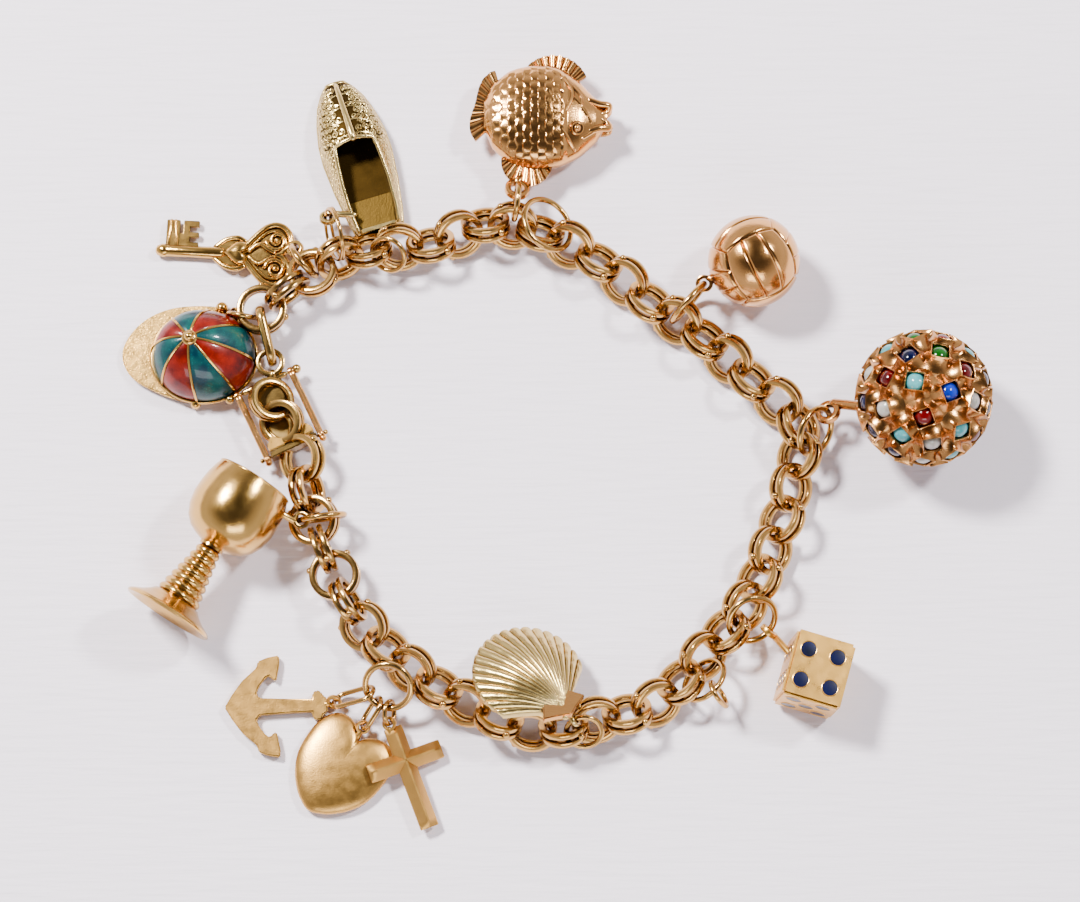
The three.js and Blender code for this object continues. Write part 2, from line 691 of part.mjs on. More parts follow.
// One bar of the cross: a ridge above and flat below, with pointed ends.
function ridgedBar(from, to, width, height) {
  const half = width / 2;
  const loops = [[from, 0.2], [from + 0.6, 1], [to - 0.6, 1], [to, 0.2]].map(([y, rise]) => [
    new THREE.Vector3(-half, y, 0),
    new THREE.Vector3(-half, y, 0.4),
    new THREE.Vector3(0, y, 0.4 + (height - 0.4) * rise),
    new THREE.Vector3(half, y, 0.4),
    new THREE.Vector3(half, y, 0),
  ]);
  return loft(loops);
}

function addCross() {
  const upright = ridgedBar(-8.2, 4.2, 2.2, 1.4);
  const arms = ridgedBar(-4.5, 4.5, 2.2, 1.4).rotateZ(Math.PI / 2);
  const frame = frameAt([-15.7, -37.2, 1.4], [0.14, 0, 1], [0.93, 0.36, -0.14]);
  const eye = eyeOn("cross_jump_ring", [-17.1, -34.2, 1.9], SMALL_EYE);
  addNode("cross", union(placed(union(upright, arms), frame), eye), metal("satin"));
}

function addHeart() {
  const half = [
    [0, 3], [1.2, 4.2], [2.8, 4.6], [4.4, 3.9], [5.2, 2.2], [5.35, 0.2], [5, -2.2], [4, -4.2], [2.4, -5.9],
    [0.9, -6.8],
  ];
  const outline = [...half, [0, -7], ...half.slice(1).reverse().map(([x, y]) => [-x, y])];
  const body = cushion(outline, [
    { scale: 0.6, z: 0.05 }, { scale: 0.9, z: 0.3 }, { scale: 1, z: 0.8 }, { scale: 0.9, z: 1.2 },
    { scale: 0.6, z: 1.6 },
  ]);
  const frame = levelFrame([-22.8, -37.1, 0], -36);
  const eye = eyeOn("heart_jump_ring", [-21.4, -34.6, 1.1], SMALL_EYE);
  addNode("heart", union(placed(body, frame), eye), metal("satin"));
}

function addAnchor() {
  const half = [
    [-12.2, 0], [-10.2, 2.9], [-8.1, 4.7], [-8.1, 5.3], [-5.9, 5.9], [-6.2, 3.0], [-7.3, 3.4], [-8.4, 2.0],
    [-8.1, 0.95], [-1.9, 0.8], [-1.9, 1.5], [-1.3, 1.8], [-0.7, 1.4], [-0.6, 0.8],
  ];
  const outline = [...half, ...half.slice(1).reverse().map(([x, y]) => [x, -y])];
  const flat = plate(outline.reverse(), 1.1);
  const frame = levelFrame([-24.6, -30.5, 0.1], 1.5);
  const eye = eyeOn("anchor_jump_ring", [-25.8, -30.5, 0.7], SMALL_EYE);
  addNode("anchor", union(placed(flat, frame), eye), metal("satin"));
}

const GOBLET = {
  foot: [-43.3, -20.6],
  mouth: [-33.4, -4.8],
  height: 5.5,
  outside: [
    [5.4, 0], [4.6, 0.7], [3.2, 1.7], [2.7, 2.6], [2.2, 5.0], [1.7, 7.2], [1.35, 9.4], [3.4, 10.2],
    [4.8, 12.0], [5.3, 14.4], [5.1, 16.6], [4.5, 18.7],
  ],
  inside: [[4.0, 18.7], [4.6, 16.4], [4.8, 14.4], [4.3, 12.3], [2.8, 10.8], [0, 10.4]],
  under: [[0, 1.7], [2.2, 1.3], [4.9, 0]],
};

function addGoblet() {
  const { foot, mouth, height, outside, inside, under } = GOBLET;
  const body = lathe([...outside, ...inside, ...under], 22);
  const axis = [mouth[0] - foot[0], mouth[1] - foot[1], 0];
  const frame = frameAt([...foot, height], axis, [0, 0, 1]);
  const eye = eyeOn("goblet_jump_ring", [-30.9, -8.1, 5.2]);
  addNode("goblet", union(placed(body, frame), eye), metal("rose"));
}

const CAP = { at: [-39.9, 11.1], halfX: 6.1, halfY: 5.4, base: 1.4, crown: 6.8 };

function addCap() {
  const { at, halfX, halfY, base, crown } = CAP;
  const rise = crown - base;
  const dome = [[0, base - 0.4], [0.92, base - 0.4]];
  const skin = [];
  const skinInside = [];
  for (let i = 0; i <= 5; i += 1) {
    const angle = 0.08 + i * 0.27;
    dome.push([0.92 * Math.cos(angle), base + (rise - 0.5) * Math.sin(angle)]);
    skin.push([Math.cos(angle), base + rise * Math.sin(angle)]);
    skinInside.unshift([0.95 * Math.cos(angle), base + (rise - 0.28) * Math.sin(angle)]);
  }
  dome.push([0, crown - 0.5]);
  const core = lathe(dome, 20).scale(halfX, halfY, 1);
  const peak = plate(
    [
      [2.6, 6.0], [-3.2, 6.4], [-8.0, 4.2], [-9.7, 1.0], [-8.8, -2.1], [-5.5, -4.2], [-1.0, -5.2],
      [3, -4.4], [5.2, 0], [4.6, 3.4],
    ].reverse(),
    0.8,
  );
  const knob = moved(ball(0.55, 10, 6), -0.3, 0.1, crown + 0.15);
  const post = rod([0, 0, crown - 1.2], [-0.3, 0.1, crown + 0.1], 0.4);
  const studs = [moved(ball(0.75, 10, 6), 2.0, 6.1, 1.0), moved(ball(0.6, 10, 6), -0.9, -5.1, 1.0)];
  const cap = union(core, moved(peak, 0, 0, 0.25), knob, post, ...studs);
  const eye = eyeOn("cap_jump_ring", [at[0] + 3, at[1] + 3.5, 0.6], SMALL_EYE);
  addNode("cap", union(moved(cap, ...at, 0), eye), metal("yellow"));
  const panels = lathe([...skin, ...skinInside], 20).scale(halfX, halfY, 1);
  addNode("cap_enamel", moved(panels, ...at, 0), enamel(0x1f7f86));
}

// ---------------------------------------------------------------- assembly

addJumpRings();
addChain();
addClaspBox();
addClaspTongue();
addSafetyBar("safety_bar_left", -1);
addSafetyBar("safety_bar_right", 1);
addConnectingLink();
addKey();
addSlipper();
addFish();
addBalls();
addDie();
addShell();
addCross();
addHeart();
addAnchor();
addGoblet();
addCap();

export default bracelet;
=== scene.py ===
import math
import random

import bmesh
import bpy
from mathutils import Matrix, Vector


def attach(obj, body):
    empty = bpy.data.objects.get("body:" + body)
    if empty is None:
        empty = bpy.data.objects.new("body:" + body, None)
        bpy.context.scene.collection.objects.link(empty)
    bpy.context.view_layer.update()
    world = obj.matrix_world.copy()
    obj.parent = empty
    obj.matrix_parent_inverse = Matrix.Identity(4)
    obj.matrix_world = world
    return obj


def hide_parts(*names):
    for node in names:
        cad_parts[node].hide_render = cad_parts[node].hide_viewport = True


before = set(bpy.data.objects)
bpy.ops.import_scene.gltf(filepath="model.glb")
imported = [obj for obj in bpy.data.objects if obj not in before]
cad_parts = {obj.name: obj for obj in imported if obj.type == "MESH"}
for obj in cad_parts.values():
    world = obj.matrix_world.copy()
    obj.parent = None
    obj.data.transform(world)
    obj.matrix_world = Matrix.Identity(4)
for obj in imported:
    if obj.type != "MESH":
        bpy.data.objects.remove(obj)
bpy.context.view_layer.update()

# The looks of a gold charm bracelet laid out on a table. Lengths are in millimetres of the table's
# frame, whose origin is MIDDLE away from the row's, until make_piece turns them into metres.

MILLIMETRE = 0.001
MIDDLE = Vector((1.6, 1.3, 0.0))
FULL = 2 * math.pi
DRAWS = random.Random(11)

# ---------------------------------------------------------------- driving sizes

# The line through the links' centres: link 1, link 3 and so on to link 47 on the clasp's tongue.
ROUTE = [Vector((x, y, 0.0)) for x, y in (
    (-33, 16.5), (-27, 21), (-20.5, 24), (-13, 24.5), (-6.5, 27), (0, 26), (7, 22.5), (13, 17.5),
    (19.5, 13), (25, 8), (30.5, 2.5), (29.5, -5), (27, -12.5), (24, -19), (19, -25), (13.5, -30.5),
    (6.5, -32.5), (-1, -33.5), (-8.5, -30.5), (-15, -26.5), (-20.5, -21.5), (-24, -15.5),
    (-26.5, -9), (-28, -1.5),
)]
LINKS = 46
RUNS = (6, 6, 6, 6, 6, 6, 5, 5)
LINK = {"outer": 2.98, "inner": 2.16, "ring": 0.72, "spread": 0.49, "cad_outer": 2.95, "cad_width": 1.7}

# Degrees each even link leans outwards from upright, by link; odd links lean a quarter turn less.
LEAN = ((1, 0), (2, 0), (5, 45), (40, 45), (43, 5), (44, 5), (47, 40))

CLASP = {"at": (-29.2, 0.5), "turn": 25.5}
CLASP_EYE = (1.7, 9.95, 2.3)
SAFETY_BAR = {"across": 3.47, "hinge": 8.0, "catch": -0.45, "height": 2.1}

# name: centre, the way its hole faces, mean radius, wire radius
JUMP_RINGS = {
    "key_jump_ring": ((-28.1, 22.5, 2.8), (0.75, 0.6, 0.25), 2.25, 0.4),
    "slipper_jump_ring": ((-24.3, 25.4, 4.5), (0.95, 0.25, -0.2), 3.1, 0.32),
    "small_jump_ring": ((-18, 22.9, 4.4), (-0.4, -0.6, 0.69), 2.11, 0.3),
    "wide_jump_ring": ((0.9, 26.5, 4.7), (0.56, 0.24, 0.8), 3.32, 0.34),
    "fish_jump_ring": ((-2.8, 29.2, 5), (1, -0.1, -0.1), 2.1, 0.34),
    "ball_jump_ring": ((17.6, 17.2, 3.8), (-0.75, 0.65, 0.05), 2.9, 0.38),
    "jewelled_ball_jump_ring": ((32.4, 1.5, 4), (0.72, -0.4, 0.56), 2.85, 0.38),
    "die_jump_ring": ((24.7, -20.9, 4.1), (0.3, -0.6, 0.74), 2.85, 0.38),
    "spare_jump_ring": ((19.1, -27.8, 2.6), (-0.59, 0.45, 0.67), 2.77, 0.34),
    "shell_jump_ring": ((5.1, -34.1, 4.2), (0, -0.68, 0.73), 2.05, 0.34),
    "cluster_jump_ring": ((-17.6, -28.8, 4.3), (-0.19, -0.49, 0.85), 2.72, 0.4),
    "goblet_jump_ring": ((-25.5, -8.7, 3.5), (-0.14, 0.98, 0.12), 2.6, 0.36),
    "cap_jump_ring": ((-35.3, 15.9, 2.5), (0.17, 0.95, 0.2), 1.7, 0.3),
}

# Drawn-out rings: name, the ring it hangs from, the charm's eye, the way its hole faces, width, wire
HUNG_RINGS = (
    ("spare_small_ring", "spare_jump_ring", (21.6, -30.2, 2.2), (0.45, 0.52, 0.72), 2.6, 0.3),
    ("anchor_jump_ring", "cluster_jump_ring", (-24, -30.2, 1.3), (-0.37, 0.84, 0.8), 2.4, 0.3),
    ("heart_jump_ring", "cluster_jump_ring", (-20.6, -33.2, 1.7), (-0.85, 0.52, 0.6), 2.4, 0.3),
    ("cross_jump_ring", "cluster_jump_ring", (-17.5, -32.9, 2.4), (1, 0, 0.5), 2.4, 0.3),
)

# The eye of a large and of a flat charm: outer radius, hole's radius, thickness, its neck's radius.
LARGE_EYE = (1.5, 0.8, 0.8, 0.6)
FLAT_EYE = (0.88, 0.5, 0.5, 0.35)

CAMERA = {"elevation": 78, "distance": 0.471, "lens": 132.5, "sensor": 36}

# ---------------------------------------------------------------- materials

# How many of a texture's details lie in a metre.
DETAIL = {"tint": 260, "wear": 900, "dents": 420, "scratches": 1500, "grain": 5200, "flecks": 3800}

# The dirt in the hollows of worn gold, which also stands in as painted shade wherever gold lies near other
# gold, how far a deep hollow reaches and how deep a faint dent is.
BROWN = (0.2, 0.11, 0.05)
DARK_BROWN = (0.12, 0.06, 0.03)
DEEP_HOLLOW = 0.0011
FAINT_DENT = 0.00001


def set_stops(node, stops):
    """Gives a colour ramp its stops of [position, colour]."""
    elements = node.color_ramp.elements
    while len(elements) < len(stops):
        elements.new(0.5)
    for element, (position, colour) in zip(elements, stops):
        element.position = position
        element.color = (*colour, 1)


class Tree:
    """A material's nodes, with short calls for the ones used here."""

    def __init__(self, name):
        self.material = bpy.data.materials.new(name)
        self.material.use_nodes = True
        self.nodes = self.material.node_tree.nodes
        self.links = self.material.node_tree.links
        self.shader = self.nodes["Principled BSDF"]
        self.place = self.nodes.new("ShaderNodeTexCoord").outputs["Object"]

    def set(self, **values):
        for name, value in values.items():
            self.shader.inputs[name.replace("_", " ").title()].default_value = value

    def node(self, kind, inputs=None, **settings):
        node = self.nodes.new(kind)
        for name, value in settings.items():
            setattr(node, name, value)
        for name, value in (inputs or {}).items():
            if isinstance(value, bpy.types.NodeSocket):
                self.links.new(value, node.inputs[name])
            else:
                node.inputs[name].default_value = value
        return node

    def noise(self, scale, detail=3.0, stretch=(1, 1, 1)):
        place = self.place
        if stretch != (1, 1, 1):
            place = self.node("ShaderNodeMapping", {"Vector": place, "Scale": stretch}).outputs[0]
        return self.node("ShaderNodeTexNoise", {"Vector": place, "Scale": scale, "Detail": detail}).outputs[0]

    def ramp(self, value, stops):
        node = self.node("ShaderNodeValToRGB", {"Fac": value})
        set_stops(node, stops)
        return node.outputs[0]

    def range(self, value, low, high, start=0.3, end=0.7):
        inputs = {"Value": value, "From Min": start, "From Max": end, "To Min": low, "To Max": high}
        return self.node("ShaderNodeMapRange", inputs).outputs[0]

    def bump(self, height, distance, strength=1.0, normal=None):
        inputs = {"Height": height, "Distance": distance, "Strength": strength}
        if normal:
            inputs["Normal"] = normal
        return self.node("ShaderNodeBump", inputs).outputs[0]

    def multiply(self, colour, other):
        node = self.node("ShaderNodeMix", data_type="RGBA", blend_type="MULTIPLY")
        node.inputs["Factor"].default_value = 1
        self.links.new(colour, node.inputs[6])
        self.links.new(other, node.inputs[7])
        return node.outputs[2]

    def link(self, output, name):
        self.links.new(output, self.shader.inputs[name])


def shade(colour, factor):
    return tuple(channel * factor for channel in colour)


def gold(name, colour, roughness, crevice=0.0006, dark=BROWN, grain=0.0, scratches=1.0, dent=0.00004):
    """Polished worn gold: cloudy tint, crevices darkened by dirt and painted shade, fine scratches and, if
    asked, a satin grain.
    """
    tree = Tree(name)
    tree.set(metallic=1.0)
    tint = tree.ramp(tree.noise(DETAIL["tint"]), [(0.3, shade(colour, 0.9)), (0.7, colour)])
    # Dirt and painted shade: the colour darkens towards dark wherever other gold lies within the crevice
    # reach, in hollows, between parts and under them.
    hollow = tree.node("ShaderNodeAmbientOcclusion", {"Distance": crevice}, samples=8)
    patina_and_shade = tree.ramp(hollow.outputs["AO"], [(0.25, dark), (0.8, (1, 1, 1))])
    tree.link(tree.multiply(tint, patina_and_shade), "Base Color")
    tree.link(tree.range(tree.noise(DETAIL["wear"]), roughness * 0.88, roughness * 1.15), "Roughness")
    dents = tree.bump(tree.noise(DETAIL["dents"], 2), dent, 0.35)
    lines = tree.noise(DETAIL["scratches"], 4, stretch=(1, 7, 3))
    normal = tree.bump(lines, 0.00002, 0.5 * scratches, dents)
    if grain:
        normal = tree.bump(tree.noise(DETAIL["grain"], 2), 0.00004, grain, normal)
    tree.link(normal, "Normal")
    return tree.material


def enamel(name, deep, pale, foil=1.0):
    """Clear glaze over a foil ground: two shades, tiny bright flecks and a glossy top."""
    tree = Tree(name)
    tree.set(metallic=0.12, roughness=0.35, coat_weight=0.4, coat_roughness=0.04)
    tree.shader.inputs["Specular IOR Level"].default_value = 0.2
    cloud = tree.ramp(tree.noise(520, 4), [(0.35, deep), (0.68, pale)])
    cells = tree.node("ShaderNodeTexVoronoi", {"Vector": tree.place, "Scale": DETAIL["flecks"]})
    fleck = tree.ramp(cells.outputs["Distance"], [(0.0, (1.0 + foil,) * 3), (0.3, (1, 1, 1))])
    tree.link(tree.multiply(cloud, fleck), "Base Color")
    tree.link(tree.bump(cells.outputs["Distance"], 0.00003, 0.35 * foil), "Normal")
    return tree.material


def stone(name, deep, pale, roughness=0.12, subsurface=0.0):
    """A small polished stone with faint clouds in it."""
    tree = Tree(name)
    tree.set(coat_weight=0.5, coat_roughness=0.03, subsurface_weight=subsurface)
    tree.shader.inputs["Specular IOR Level"].default_value = 0.3
    tree.shader.inputs["Subsurface Scale"].default_value = 0.0006
    tree.link(tree.ramp(tree.noise(900, 3), [(0.3, deep), (0.7, pale)]), "Base Color")
    tree.link(tree.range(tree.noise(1400, 2), roughness * 0.7, roughness * 1.5), "Roughness")
    return tree.material


# The chain's and clasp's gold darken far into the gaps between the rings: painted shade as well as dirt.
CHAIN_GOLD = gold("chain_gold", (0.58, 0.33, 0.1), 0.18, crevice=DEEP_HOLLOW, dark=DARK_BROWN)
CLASP_GOLD = gold("clasp_gold", (0.56, 0.34, 0.1), 0.2, crevice=DEEP_HOLLOW, dark=DARK_BROWN)
ROSE_GOLD = gold("rose_gold", (0.74, 0.37, 0.12), 0.17)
YELLOW_GOLD = gold("yellow_gold", (0.68, 0.4, 0.11), 0.18)
GREEN_GOLD = gold("green_gold", (0.68, 0.5, 0.19), 0.24, crevice=DEEP_HOLLOW)
SATIN_GOLD = gold("satin_gold", (0.6, 0.33, 0.085), 0.34, grain=0.3, scratches=0.4, dent=FAINT_DENT)
BRIGHT_GOLD = gold(
    "bright_gold", (0.8, 0.44, 0.1), 0.3, crevice=0.00012, grain=0.15, scratches=0.1, dent=FAINT_DENT)
HAMMERED_GOLD = gold("hammered_gold", (0.76, 0.44, 0.12), 0.26, grain=0.5, scratches=1.4, dent=0.00014)
# The jewelled ball's gold darkens far into the spaces between the collets: painted shade as well as dirt.
JEWEL_GOLD = gold("jewel_gold", (0.62, 0.3, 0.1), 0.22, crevice=0.0022, dark=DARK_BROWN, dent=0.00008)
# Painted shade: the ball's body between the collets is a darker copy of the gold, standing in for the shade
# the collets cast, and darkens further near them.
PAINTED_SHADE_BALL_GOLD = gold("painted_shade_ball_gold", (0.34, 0.16, 0.055), 0.36, crevice=0.003, dark=(0.1, 0.05, 0.02), grain=0.4)
SHADED_GOLD = gold("shaded_gold", (0.3, 0.19, 0.06), 0.4, grain=0.4)
# Painted shade: the inside of the slipper and the skin behind its filigree are a near-black copy of the gold,
# standing in for the shade in there.
PAINTED_SHADE_INSIDE_GOLD = gold("painted_shade_inside_gold", (0.035, 0.019, 0.004), 0.55, grain=0.3)
# Painted shade: the heel pad inside the slipper is a dark copy of the gold, less dark than the lining where
# more light reaches it.
PAINTED_SHADE_PAD_GOLD = gold("painted_shade_pad_gold", (0.1, 0.058, 0.012), 0.42, grain=0.6)
ENAMEL_TEAL = enamel("enamel_teal", (0.0, 0.018, 0.03), (0.0, 0.07, 0.062), 1.2)
ENAMEL_RED = enamel("enamel_red", (0.06, 0.0, 0.0), (0.22, 0.006, 0.0), 0.7)
ENAMEL_NAVY = enamel("enamel_navy", (0.0, 0.001, 0.012), (0.0, 0.002, 0.04), 0.05)
STONES = {
    "turquoise": ("stone_turquoise", stone("stone_turquoise", (0.03, 0.22, 0.25), (0.08, 0.34, 0.36), 0.2)),
    "ruby": ("stone_ruby", stone("stone_ruby", (0.03, 0.0, 0.0), (0.12, 0.0, 0.001))),
    "emerald": ("stone_emerald", stone("stone_emerald", (0.0, 0.03, 0.001), (0.002, 0.1, 0.003))),
    "sapphire": ("stone_sapphire", stone("stone_sapphire", (0.0, 0.004, 0.12), (0.0, 0.025, 0.45))),
    "navy": ("stone_navy", stone("stone_navy", (0.0, 0.001, 0.01), (0.0, 0.002, 0.035))),
    "pearl": ("pearl", stone("pearl", (0.26, 0.24, 0.21), (0.5, 0.47, 0.43), 0.18, 0.2)),
}

# ---------------------------------------------------------------- shapes


def frame_at(at, up, right):
    """A frame at a point, its z axis along up and its x axis as near as it can be to right."""
    z = Vector(up).normalized()
    y = z.cross(Vector(right)).normalized()
    place = Matrix((y.cross(z), y, z)).transposed().to_4x4()
    place.translation = Vector(at)
    return place


def frame_facing(at, axis):
    """A frame at a point with its z axis along an axis and its x axis near the table's x or y."""
    return frame_at(at, axis, (0, 1, 0) if abs(axis[0]) > 0.8 else (1, 0, 0))


def level_frame(at, degrees):
    """A frame at a point, turned about the table's z axis."""
    angle = math.radians(degrees)
    return frame_at(at, (0, 0, 1), (math.cos(angle), math.sin(angle), 0))


def shifted(x, y, z):
    return Matrix.Translation((x, y, z))


def loft(loops, ring=False):
    """Points and faces of a skin over loops of equally many points, its ends closed unless a ring."""
    count = len(loops[0])
    faces = []
    for i in range(len(loops) if ring else len(loops) - 1):
        low, high = i * count, (i + 1) % len(loops) * count
        faces.extend((low + j, low + (j + 1) % count, high + (j + 1) % count, high + j) for j in range(count))
    if not ring:
        last = (len(loops) - 1) * count
        faces.append(tuple(reversed(range(count))))
        faces.append(tuple(range(last, last + count)))
    return [Vector(point) for loop in loops for point in loop], faces


def lathe(profile, segments=40):
    """A solid about z from [radius, height] points, either a loop or from the axis to the axis."""
    loops = []
    for i in range(segments):
        angle = FULL * i / segments
        loops.append([
            (radius * math.cos(angle), radius * math.sin(angle), height) for radius, height in profile])
    return loft(loops, ring=True)


def ball(radius, segments=20):
    steps = segments // 2
    angles = [math.pi * i / steps - math.pi / 2 for i in range(steps + 1)]
    return lathe([(radius * max(math.cos(a), 0), radius * math.sin(a)) for a in angles], segments)


def band(outer, inner, width, segments=48, soft=0.14):
    """A ring round z with a rectangular section whose corners are rounded."""
    middle, half, thick = (outer + inner) / 2, width / 2, (outer - inner) / 2
    profile = []
    for corner in range(4):
        for step in range(3):
            angle = math.pi / 4 * step + math.pi / 2 * corner
            side = (1 if corner in (0, 3) else -1, 1 if corner in (0, 1) else -1)
            profile.append((
                middle + side[0] * (thick - soft) + soft * math.cos(angle),
                side[1] * (half - soft) + soft * math.sin(angle),
            ))
    return lathe(profile, segments)


def torus(radius, wire, segments=48, sides=12):
    angles = [FULL * i / sides for i in range(sides)]
    return lathe([(radius + wire * math.cos(a), wire * math.sin(a)) for a in angles], segments)


def tube(path, radius, up=(0, 0, 1), closed=False, sides=10, flat=1.0):
    """A round bar along a path, with a radius or one radius for each point. flat squeezes it along up."""
    path = [Vector(point) for point in path]
    radii = [radius] * len(path) if isinstance(radius, (int, float)) else list(radius)
    loops = []
    for i, point in enumerate(path):
        before = path[i - 1] if closed or i else point
        after = path[(i + 1) % len(path)] if closed or i < len(path) - 1 else point
        along = (after - before).normalized()
        side = along.cross(Vector(up)).normalized()
        top = side.cross(along)
        ends = [(0.0, 1.0)]
        if not closed and i == 0:
            ends = [(-0.95, 0.3), (-0.7, 0.72), (0.0, 1.0)]
        elif not closed and i == len(path) - 1:
            ends = [(0.0, 1.0), (0.7, 0.72), (0.95, 0.3)]
        for shift, share in ends:
            centre = point + along * shift * radii[i]
            loops.append([
                centre + side * radii[i] * share * math.cos(FULL * j / sides)
                + top * radii[i] * share * flat * math.sin(FULL * j / sides)
                for j in range(sides)
            ])
    return loft(loops, ring=closed)


def plate(outline, low, high, bevel=0.1):
    """A flat plate of an outline of [x, y] points with its edges rounded off."""
    work = bmesh.new()
    face = work.faces.new([work.verts.new((x, y, low)) for x, y in outline])
    lifted = bmesh.ops.extrude_face_region(work, geom=[face])["geom"]
    bmesh.ops.translate(
        work, vec=(0, 0, high - low), verts=[item for item in lifted if isinstance(item, bmesh.types.BMVert)])
    bmesh.ops.bevel(
        work, geom=work.edges[:], offset=bevel, segments=2, affect="EDGES", clamp_overlap=True)
    work.verts.index_update()
    result = [v.co.copy() for v in work.verts], [tuple(v.index for v in f.verts) for f in work.faces]
    work.free()
    return result


def cushion(outline, rows):
    """A solid from one outline shrunk to each row's scale at that row's height."""
    return loft([[(x * scale, y * scale, z) for x, y in outline] for scale, z in rows])


def heart_outline(width, height, count):
    """A heart's outline as [x, y] points, its tip at the bottom."""
    points = []
    for i in range(count):
        t = FULL * i / count
        y = (13 * math.cos(t) - 5 * math.cos(2 * t) - 2 * math.cos(3 * t) - math.cos(4 * t)) / 29
        points.append((math.sin(t) ** 3 * width / 2, y * height))
    return points


def curve_point(before, one, two, after, t):
    """What lies a share t of the way from one to two on a Catmull-Rom curve through four values."""
    return 0.5 * (
        2 * one + (two - before) * t + (2 * before - 5 * one + 4 * two - after) * t * t
        + (3 * one - before - 3 * two + after) * t ** 3)


def smooth(points, steps=6, closed=False):
    """More points on a Catmull-Rom curve through the given ones."""
    points = [Vector(point) for point in points]
    count = len(points)
    result = []
    for i in range(count if closed else count - 1):
        one, two = points[i], points[(i + 1) % count]
        before = points[i - 1] if closed or i else one * 2 - two
        after = points[(i + 2) % count] if closed or i < count - 2 else two * 2 - one
        result.extend(curve_point(before, one, two, after, step / steps) for step in range(steps))
    return result if closed else [*result, points[-1]]


def closed_curve(outline, steps):
    """A smooth closed curve on the ground through [x, y] points."""
    return smooth([(x, y, 0) for x, y in outline], steps, closed=True)


def spiral(centre, start, end, turns, first, height, steps=26):
    """A flat scroll that winds from one radius to another."""
    points = []
    for i in range(steps + 1):
        share = i / steps
        angle = math.radians(first) + FULL * turns * share
        radius = start + (end - start) * share
        points.append((centre[0] + radius * math.cos(angle), centre[1] + radius * math.sin(angle), height))
    return points


class Shells:
    """Closed shells gathered into one piece, each with the number of its material."""

    def __init__(self):
        self.points = []
        self.faces = []
        self.numbers = []

    def add(self, shell, place=None, material=0):
        points, faces = shell
        first = len(self.points)
        self.points.extend(place @ Vector(point) if place else Vector(point) for point in points)
        self.faces.extend(tuple(first + index for index in face) for face in faces)
        self.numbers.extend([material] * len(faces))
        return self


def make_piece(name, shells, materials, nodes=(), body="bracelet", sharp=38):
    """Makes the piece that stands for the nodes, in metres, with edges over sharp degrees kept crisp."""
    mesh = bpy.data.meshes.new(name)
    points = [(point - MIDDLE) * MILLIMETRE for point in shells.points]
    mesh.from_pydata(points, [], shells.faces)
    for material in materials:
        mesh.materials.append(material)
    mesh.polygons.foreach_set("material_index", shells.numbers)
    work = bmesh.new()
    work.from_mesh(mesh)
    bmesh.ops.remove_doubles(work, verts=work.verts, dist=2e-7)
    bmesh.ops.dissolve_degenerate(work, edges=work.edges, dist=1e-7)
    bmesh.ops.recalc_face_normals(work, faces=work.faces)
    work.to_mesh(mesh)
    work.free()
    mesh.polygons.foreach_set("use_smooth", [True] * len(mesh.polygons))
    mesh.set_sharp_from_angle(angle=math.radians(sharp))
    piece = bpy.data.objects.new(name, mesh)
    bpy.context.scene.collection.objects.link(piece)
    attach(piece, body)
    if nodes:
        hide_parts(*nodes)


# ---------------------------------------------------------------- jump rings

placed_rings = {}


def wire_point(ring, towards):
    """The point of a ring's wire nearest to a place, the way out from the ring and the wire's way."""
    if "end" in ring:
        return ring["end"], ring["outward"], ring["along"]
    axis = Vector(ring["faces"]).normalized()
    outward = Vector(towards) - Vector(ring["at"])
    outward = (outward - axis * outward.dot(axis)).normalized()
    return Vector(ring["at"]) + outward * ring["radius"], outward, axis.cross(outward)


def eye_shells(ring_name, inside, outer=1.05, hole=0.58, thickness=0.7, neck=0.42):
    """A charm's eye round its ring's wire, with a neck to a point inside the charm."""
    point, outward, along = wire_point(placed_rings[ring_name], inside)
    shells = Shells()
    shells.add(band(outer, hole, thickness, 28, 0.12), frame_facing(point, along))
    root = point + outward * (outer - 0.2)
    shells.add(tube([root, root.lerp(Vector(inside), 0.5), Vector(inside)], neck, up=along, sides=12))
    return shells


def add_shells(shells, other):
    shells.add((other.points, other.faces))


def make_ring(name, ring):
    """A round jump ring; the slipper's is two thin ones side by side."""
    at, faces, radius, wire = ring
    placed_rings[name] = {"at": at, "faces": faces, "radius": radius, "wire": wire}
    place = frame_facing(at, faces)
    shells = Shells()
    if name == "slipper_jump_ring":
        for shift, lean in ((-0.21, 3.0), (0.21, -3.0)):
            turned = Matrix.Rotation(math.radians(lean), 4, "X")
            shells.add(torus(radius, 0.2), place @ shifted(0, 0, shift) @ turned)
    else:
        shells.add(torus(radius, wire), place)
    make_piece(f"{name}_fine", shells, [CHAIN_GOLD], [name])


def oval_path(length, width, steps=44):
    """The middle line of a ring drawn out along x to a length."""
    radius = width / 2
    reach = length / 2 - radius
    path = []
    for i in range(steps):
        angle = FULL * (i + 0.5) / steps
        end = math.copysign(reach, math.cos(angle))
        path.append((end + radius * math.cos(angle), radius * math.sin(angle), 0.0))
    return path


def make_rings():
    for name, ring in JUMP_RINGS.items():
        make_ring(name, ring)
    for name, parent_name, end, faces, width, wire in HUNG_RINGS:
        parent = placed_rings[parent_name]
        point = wire_point(parent, end)[0]
        end = Vector(end)
        outward = (end - point).normalized()
        start = point - outward * (parent["wire"] + wire + 0.1)
        normal = Vector(faces)
        place = frame_at((start + end) / 2, normal - outward * normal.dot(outward), outward)
        placed_rings[name] = {"end": end, "outward": outward, "along": place.to_3x3().col[1].copy()}
        path = oval_path((end - start).length, width)
        shells = Shells().add(tube(path, wire, closed=True, sides=12), place)
        make_piece(f"{name}_fine", shells, [CHAIN_GOLD], [name])


# ---------------------------------------------------------------- chain


